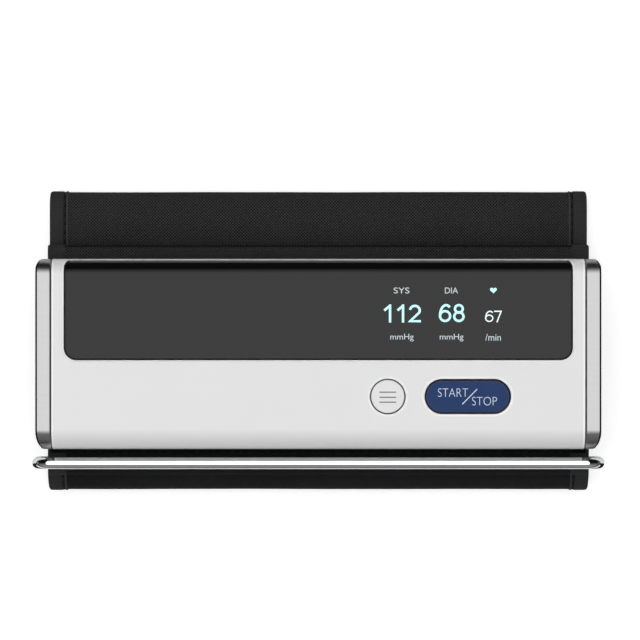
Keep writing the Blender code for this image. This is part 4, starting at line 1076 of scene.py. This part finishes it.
def binding_profile(side):
    """A folded tape's section: a raised inner edge, a stitched groove and a round outer edge."""
    inner, outer, half = BINDING_INNER, CUFF_END, BINDING_HALF
    dip = half - GROOVE_DEPTH
    upper = [(inner, BAND_HALF * 0.5), (inner, half - 0.05 * MM), (inner + 0.05 * MM, half)]
    upper += [(inner + 0.50 * MM, half), (inner + 0.64 * MM, dip), (inner + 1.00 * MM, dip)]
    upper += [(inner + 1.20 * MM, half - 0.03 * MM), (inner + 1.9 * MM, half), (outer - 2.2 * MM, half)]
    edge = arc((outer - half * 1.1, 0.0), (half * 1.1, half), 85, -85, 14)
    return [(side * x, h) for x, h in upper + edge + [(x, -h) for x, h in upper[::-1]]]


def make_bindings():
    path = roll_path(BAND_END_Y - 0.4 * MM)
    made = []
    for name, side in SIDES:
        tape = sweep("cuff_binding_" + name, path, binding_profile(side), tape_look, sharp_deg=80)
        shade_binding(tape)
        settle(tape, BODY, "binding_tape", "edge_binding_" + name)
        made += [tape, sew("cuff_stitches_" + name, stitch_places(path, side), 0.12 * MM)]
    return made


def shade_binding(tape):
    """The seam groove of a binding takes the near-black cloth, a painted shade, and its turned inner
    edge a little lighter cloth.
    """
    tape.data.materials.append(painted_shade_cloth_look)
    tape.data.materials.append(inner_edge_look)
    for face in tape.data.polygons:
        inside = abs(face.center.x) - BINDING_INNER
        if 0.55 * MM < inside < 1.10 * MM:
            face.material_index = 1
        elif inside < 0.55 * MM:
            face.material_index = 2


def stitch_places(path, side):
    """Stitch places in the binding's groove, on its outward face, round the turns that show."""
    x = side * (BINDING_INNER + STITCH_INSET)
    shown = fold_arcs()[2]
    places, travelled, due = [], 0.0, 1.5 * MM
    for first, second in zip(path, path[1:]):
        step = math.dist(first, second)
        along = Vector((second[0] - first[0], second[1] - first[1])) / step
        while due <= travelled + step:
            spot = Vector(first) + along * (due - travelled)
            out = Vector((0, along.y, -along.x))
            centre = Vector((x, spot.x, spot.y)) + out * (BINDING_HALF - GROOVE_DEPTH + 0.04 * MM)
            places.append((centre, (0, along.x, along.y), out))
            due += STITCH_PITCH
        travelled += step
        if travelled > 160 * MM and second[0] < shown[0]:
            break
    return places


def make_pocket():
    """The padded pouch behind the unit, holding the bladder and the plate."""
    low = POCKET_LOW + Vector((1.0, 0.25, 0.0)) * MM
    high = POCKET_HIGH - Vector((1.0, 0.25, 0.12)) * MM
    outline = rounded_rectangle(low[1:], high[1:], 1.6 * MM, 0.7 * MM, 8)
    pouch = prism("cuff_pocket", outline, "X", low.x, high.x, band_look)
    carve(pouch, "DIFFERENCE", block("room", *POCKET_ROOM))
    drill(pouch, disc(*NOZZLE, NOZZLE_HOLE, 32), *POCKET_FRONT)
    for x, y in MOUNT_SCREWS:
        drill(pouch, disc(x, y, SCREW_HOLE, 32), *POCKET_FRONT)
    box_map(pouch)
    settle(pouch, BODY, "band_fabric")
    for name, side in SIDES:
        make_pocket_binding(name, side)
    y, z = 24.6 * MM, POCKET_HIGH.z - 0.10 * MM
    places = [((x * MM, y, z), (1, 0, 0), (0, 0, 1)) for x in np.arange(-66.5, 67, 2.4)]
    sew("pocket_stitches", places, 0.11 * MM)
    make_pocket_edge_shade()


def make_pocket_edge_shade():
    """A thin dark strip along the pocket's upper edge, where the edge only holds shade: painted shade.
    """
    reach, radius = BINDING_INNER + 0.3 * MM, 0.32 * MM
    centre = (POCKET_HIGH.y - 0.45 * MM, POCKET_HIGH.z - 0.28 * MM)
    outline = arc(centre, (radius, radius), 0, 345, 23)
    edge_shade = prism("pocket_piping", outline, "X", -reach, reach, painted_shade_cloth_look)
    box_map(edge_shade)
    return settle(edge_shade, BODY, "binding_tape")


def make_pocket_binding(name, side):
    outline = rounded_rectangle(POCKET_LOW[1:], POCKET_HIGH[1:], 1.6 * MM, 1.25 * MM, 8)
    ends = sorted((side * BINDING_INNER, side * POCKET_HIGH.x))
    tape = prism("pocket_binding_" + name, outline, "X", *ends, tape_look)
    soften(tape, 0.45 * MM, 4, 50)
    box_map(tape)
    settle(tape, BODY, "binding_tape")
    x, z = side * (BINDING_INNER + STITCH_INSET), POCKET_HIGH.z - 0.02 * MM
    places = [((x, y * MM, z), (0, 1, 0), (0, 0, 1)) for y in np.arange(-24.8, 25.2, 2.4)]
    sew("pocket_stitches_" + name, places, 0.12 * MM)


def make_hook_tab():
    """Hook tape at the band's free end, rows of tiny hooks on a woven base."""
    low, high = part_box("hook_tab")
    base_low, base_high = low + Vector((0.3, 0, 0.1)) * MM, high - Vector((0.3, 0.3, 0.75)) * MM
    base = block("hook_base", base_low, base_high, hook_look)
    soften(base, 0.12 * MM, 2)
    box_map(base)
    settle(base, BODY, "hook_tape", "hook_tab")
    places = []
    for row, y in enumerate(np.arange(low.y + 1.2 * MM, high.y - 1.0 * MM, 2.0 * MM)):
        for x in np.arange(low.x + 1.5 * MM + (row % 2) * 1.3 * MM, high.x - 1.2 * MM, 2.6 * MM):
            places.append(((float(x), float(y), high.z - 0.55 * MM), (0, 1, 0), (0, 0, 1)))
    hooks = stitch_row("hook_rows", places, 0.8 * MM, 0.20 * MM, hook_look, 5, 3)
    settle(hooks, BODY, "hook_tape")


def make_bladder():
    """A flat film bag, crowned between welded rims."""
    low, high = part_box("air_bladder")
    outline = rounded_rectangle(low[:2], high[:2], 6 * MM, 6 * MM, 10)
    centre = (low + high) / 2
    weld = 0.955
    shares = (1.0, 0.985, weld, 0.93, 0.88, 0.78, 0.6, 0.4, 0.2)
    rim, crown = 0.16 * MM, (high.z - low.z) / 2
    shape = bmesh.new()
    outer_rings = []
    for sign in (1, -1):
        rings = []
        for share in shares:
            inner = max(0.0, (weld - share) / weld)
            lift = rim + (crown - rim) * math.sin(min(1.0, inner * 2.4) * math.pi / 2)
            flat = [centre.xy + (Vector(point) - centre.xy) * share for point in outline]
            rings.append([shape.verts.new((*spot, centre.z + sign * lift)) for spot in flat])
        ring_faces(shape, rings)
        shape.faces.new(rings[-1])
        outer_rings.append(rings[0])
    ring_faces(shape, outer_rings)
    bmesh.ops.recalc_face_normals(shape, faces=shape.faces)
    bag = add_mesh("bladder_bag", shape, film_look)
    settle(bag, BODY, "bladder_film", "air_bladder")


# ---------------------------------------------------------------- camera, light and floor

ROOM_LIGHT = 0.28
FLOOR_REACH = 12.0
FLOOR_GLOW, FAR_FLOOR_GLOW = 0.5, 1.05
FLOOR_FADE = (0.4, 2.0)
SOFTBOX_GLOW = 6.85
SOFTBOX_WIDTH = 2.1
SOFTBOX_X = -0.12
SOFTBOX_HEIGHT = 1.3
SOFTBOX_NEAR = -0.605
# The softbox fades towards its far side: each layer's far edge and its share of the light.
SOFTBOX_STEPS = ((0.55, 0.36), (1.00, 0.34), (1.75, 0.30))


def make_camera():
    camera = bpy.data.cameras.new("camera")
    camera.sensor_width = 36.0
    camera.lens = 201.8
    camera.clip_start = 0.05
    camera.clip_end = 100.0
    holder = bpy.data.objects.new("camera", camera)
    holder.location = (0.45 * MM, 5.52 * MM, 985 * MM)
    bpy.context.scene.collection.objects.link(holder)
    bpy.context.scene.camera = holder


def make_world():
    """White to the camera; to everything else a dim room, lit from the near side only."""
    world = bpy.data.worlds.new("studio")
    bpy.context.scene.world = world
    world.use_nodes = True
    tree = world.node_tree
    tree.nodes.clear()

    def node(kind, *links):
        made = tree.nodes.new("ShaderNode" + kind)
        for socket, source in links:
            tree.links.new(source, made.inputs[socket])
        return made

    place = node("TexCoord")
    split = node("SeparateXYZ", (0, place.outputs["Generated"]))
    shift = node("MapRange", ("Value", split.outputs[1]))
    shift.inputs["From Min"].default_value = -1.0
    ramp = node("ValToRGB", ("Fac", shift.outputs[0]))
    for element, position, grey in zip(ramp.color_ramp.elements, (0.12, 0.55), (1.0, 0.02)):
        element.position = position
        element.color = (grey, grey, grey, 1)
    room = node("Background", ("Color", ramp.outputs["Color"]))
    room.inputs["Strength"].default_value = ROOM_LIGHT
    pale = node("Background")
    pale.inputs["Color"].default_value = (1, 1, 1, 1)
    seen = node("LightPath").outputs["Is Camera Ray"]
    mix = node("MixShader", ("Fac", seen), (1, room.outputs[0]), (2, pale.outputs[0]))
    node("OutputWorld", ("Surface", mix.outputs[0]))


# The black paper on the table, as (low x, high x, low y, high y) in mm.
PAPER_STRIPS = (
    (-3000, 3000, 92, 3000), (-3000, 3000, -3000, -115),
    (170, 400, -115, 92), (-400, -170, -115, 92),
    (79, 170, -62, -36), (-170, -79, -62, -36),
)


def add_rectangle(shape, x0, x1, y0, y1, z):
    corners = ((x0, y0), (x1, y0), (x1, y1), (x0, y1))
    shape.faces.new([shape.verts.new((x, y, z)) for x, y in corners])


def make_floor():
    """A pale floor that fades to white far away, as the camera sees it."""
    shape = bmesh.new()
    add_rectangle(shape, -FLOOR_REACH, FLOOR_REACH, -FLOOR_REACH, FLOOR_REACH, -0.05 * MM)
    made = Shader("pale_floor", (0.86, 0.86, 0.86), 0.9, specular=0.0)
    tone = made.noise(3.0, 2.0)
    made.feed("Base Color", made.ramp(tone, (0.855, 0.855, 0.855), (0.865, 0.865, 0.865)))
    made.set("Emission Color", (1, 1, 1, 1))
    seen = made.node("ShaderNodeLightPath").outputs["Is Camera Ray"]
    away = made.node("ShaderNodeVectorMath", operation="LENGTH")
    made.link(made.coordinates(), away.inputs[0])
    far_glow = made.node("ShaderNodeMapRange")
    made.link(away.outputs["Value"], far_glow.inputs["Value"])
    limits = (*FLOOR_FADE, FLOOR_GLOW, FAR_FLOOR_GLOW)
    for socket, value in zip(("From Min", "From Max", "To Min", "To Max"), limits):
        far_glow.inputs[socket].default_value = value
    made.feed("Emission Strength", made.math("MULTIPLY", seen, far_glow.outputs[0]))
    add_mesh("floor", shape, made.material)


def make_dark_surround():
    """Black paper on the studio table round the set, which only shows in glossy surfaces."""
    shape = bmesh.new()
    for strip in PAPER_STRIPS:
        add_rectangle(shape, *(edge * MM for edge in strip), 0.0)
    look = plastic("black_paper", (0.02, 0.02, 0.02), 0.9, specular=0.0)
    paper = add_mesh("dark_surround", shape, look)
    for rays in ("camera", "diffuse", "shadow", "transmission"):
        setattr(paper, "visible_" + rays, False)


def make_softbox():
    """One wide softbox overhead, in layers that end one after another towards its far side."""
    for number, (far_edge, share) in enumerate(SOFTBOX_STEPS):
        light = bpy.data.lights.new("overhead_%d" % number, "AREA")
        light.shape = "RECTANGLE"
        light.size, light.size_y = SOFTBOX_WIDTH, far_edge - SOFTBOX_NEAR
        light.energy = SOFTBOX_GLOW * share * SOFTBOX_WIDTH * (far_edge - SOFTBOX_NEAR)
        holder = bpy.data.objects.new(light.name, light)
        holder.location = (SOFTBOX_X, (far_edge + SOFTBOX_NEAR) / 2, SOFTBOX_HEIGHT + 0.004 * number)
        holder.visible_camera = False
        bpy.context.scene.collection.objects.link(holder)


def make_lights():
    make_world()
    make_floor()
    make_dark_surround()
    make_softbox()
    bpy.context.scene.view_settings.view_transform = "Standard"


# ---------------------------------------------------------------- everything



def main():
    make_camera()
    make_lights()
    make_front_shell()
    make_rear_shell()
    make_end_cap("end_cap_trim_right", 1)
    make_end_cap("end_cap_trim_left", -1)
    make_lens()
    make_display_gap_shade()
    make_display_lip()
    make_shell_trim("shell_trim_right", 1)
    make_shell_trim("shell_trim_left", -1)
    make_menu_button()
    make_start_button()
    make_start_words()
    make_surrounds()
    make_display_marks()
    make_ring()
    make_sleeve()
    band, length, width = make_band()
    tapes = make_bindings()
    make_pocket()
    make_hook_tab()
    make_bladder()


main()
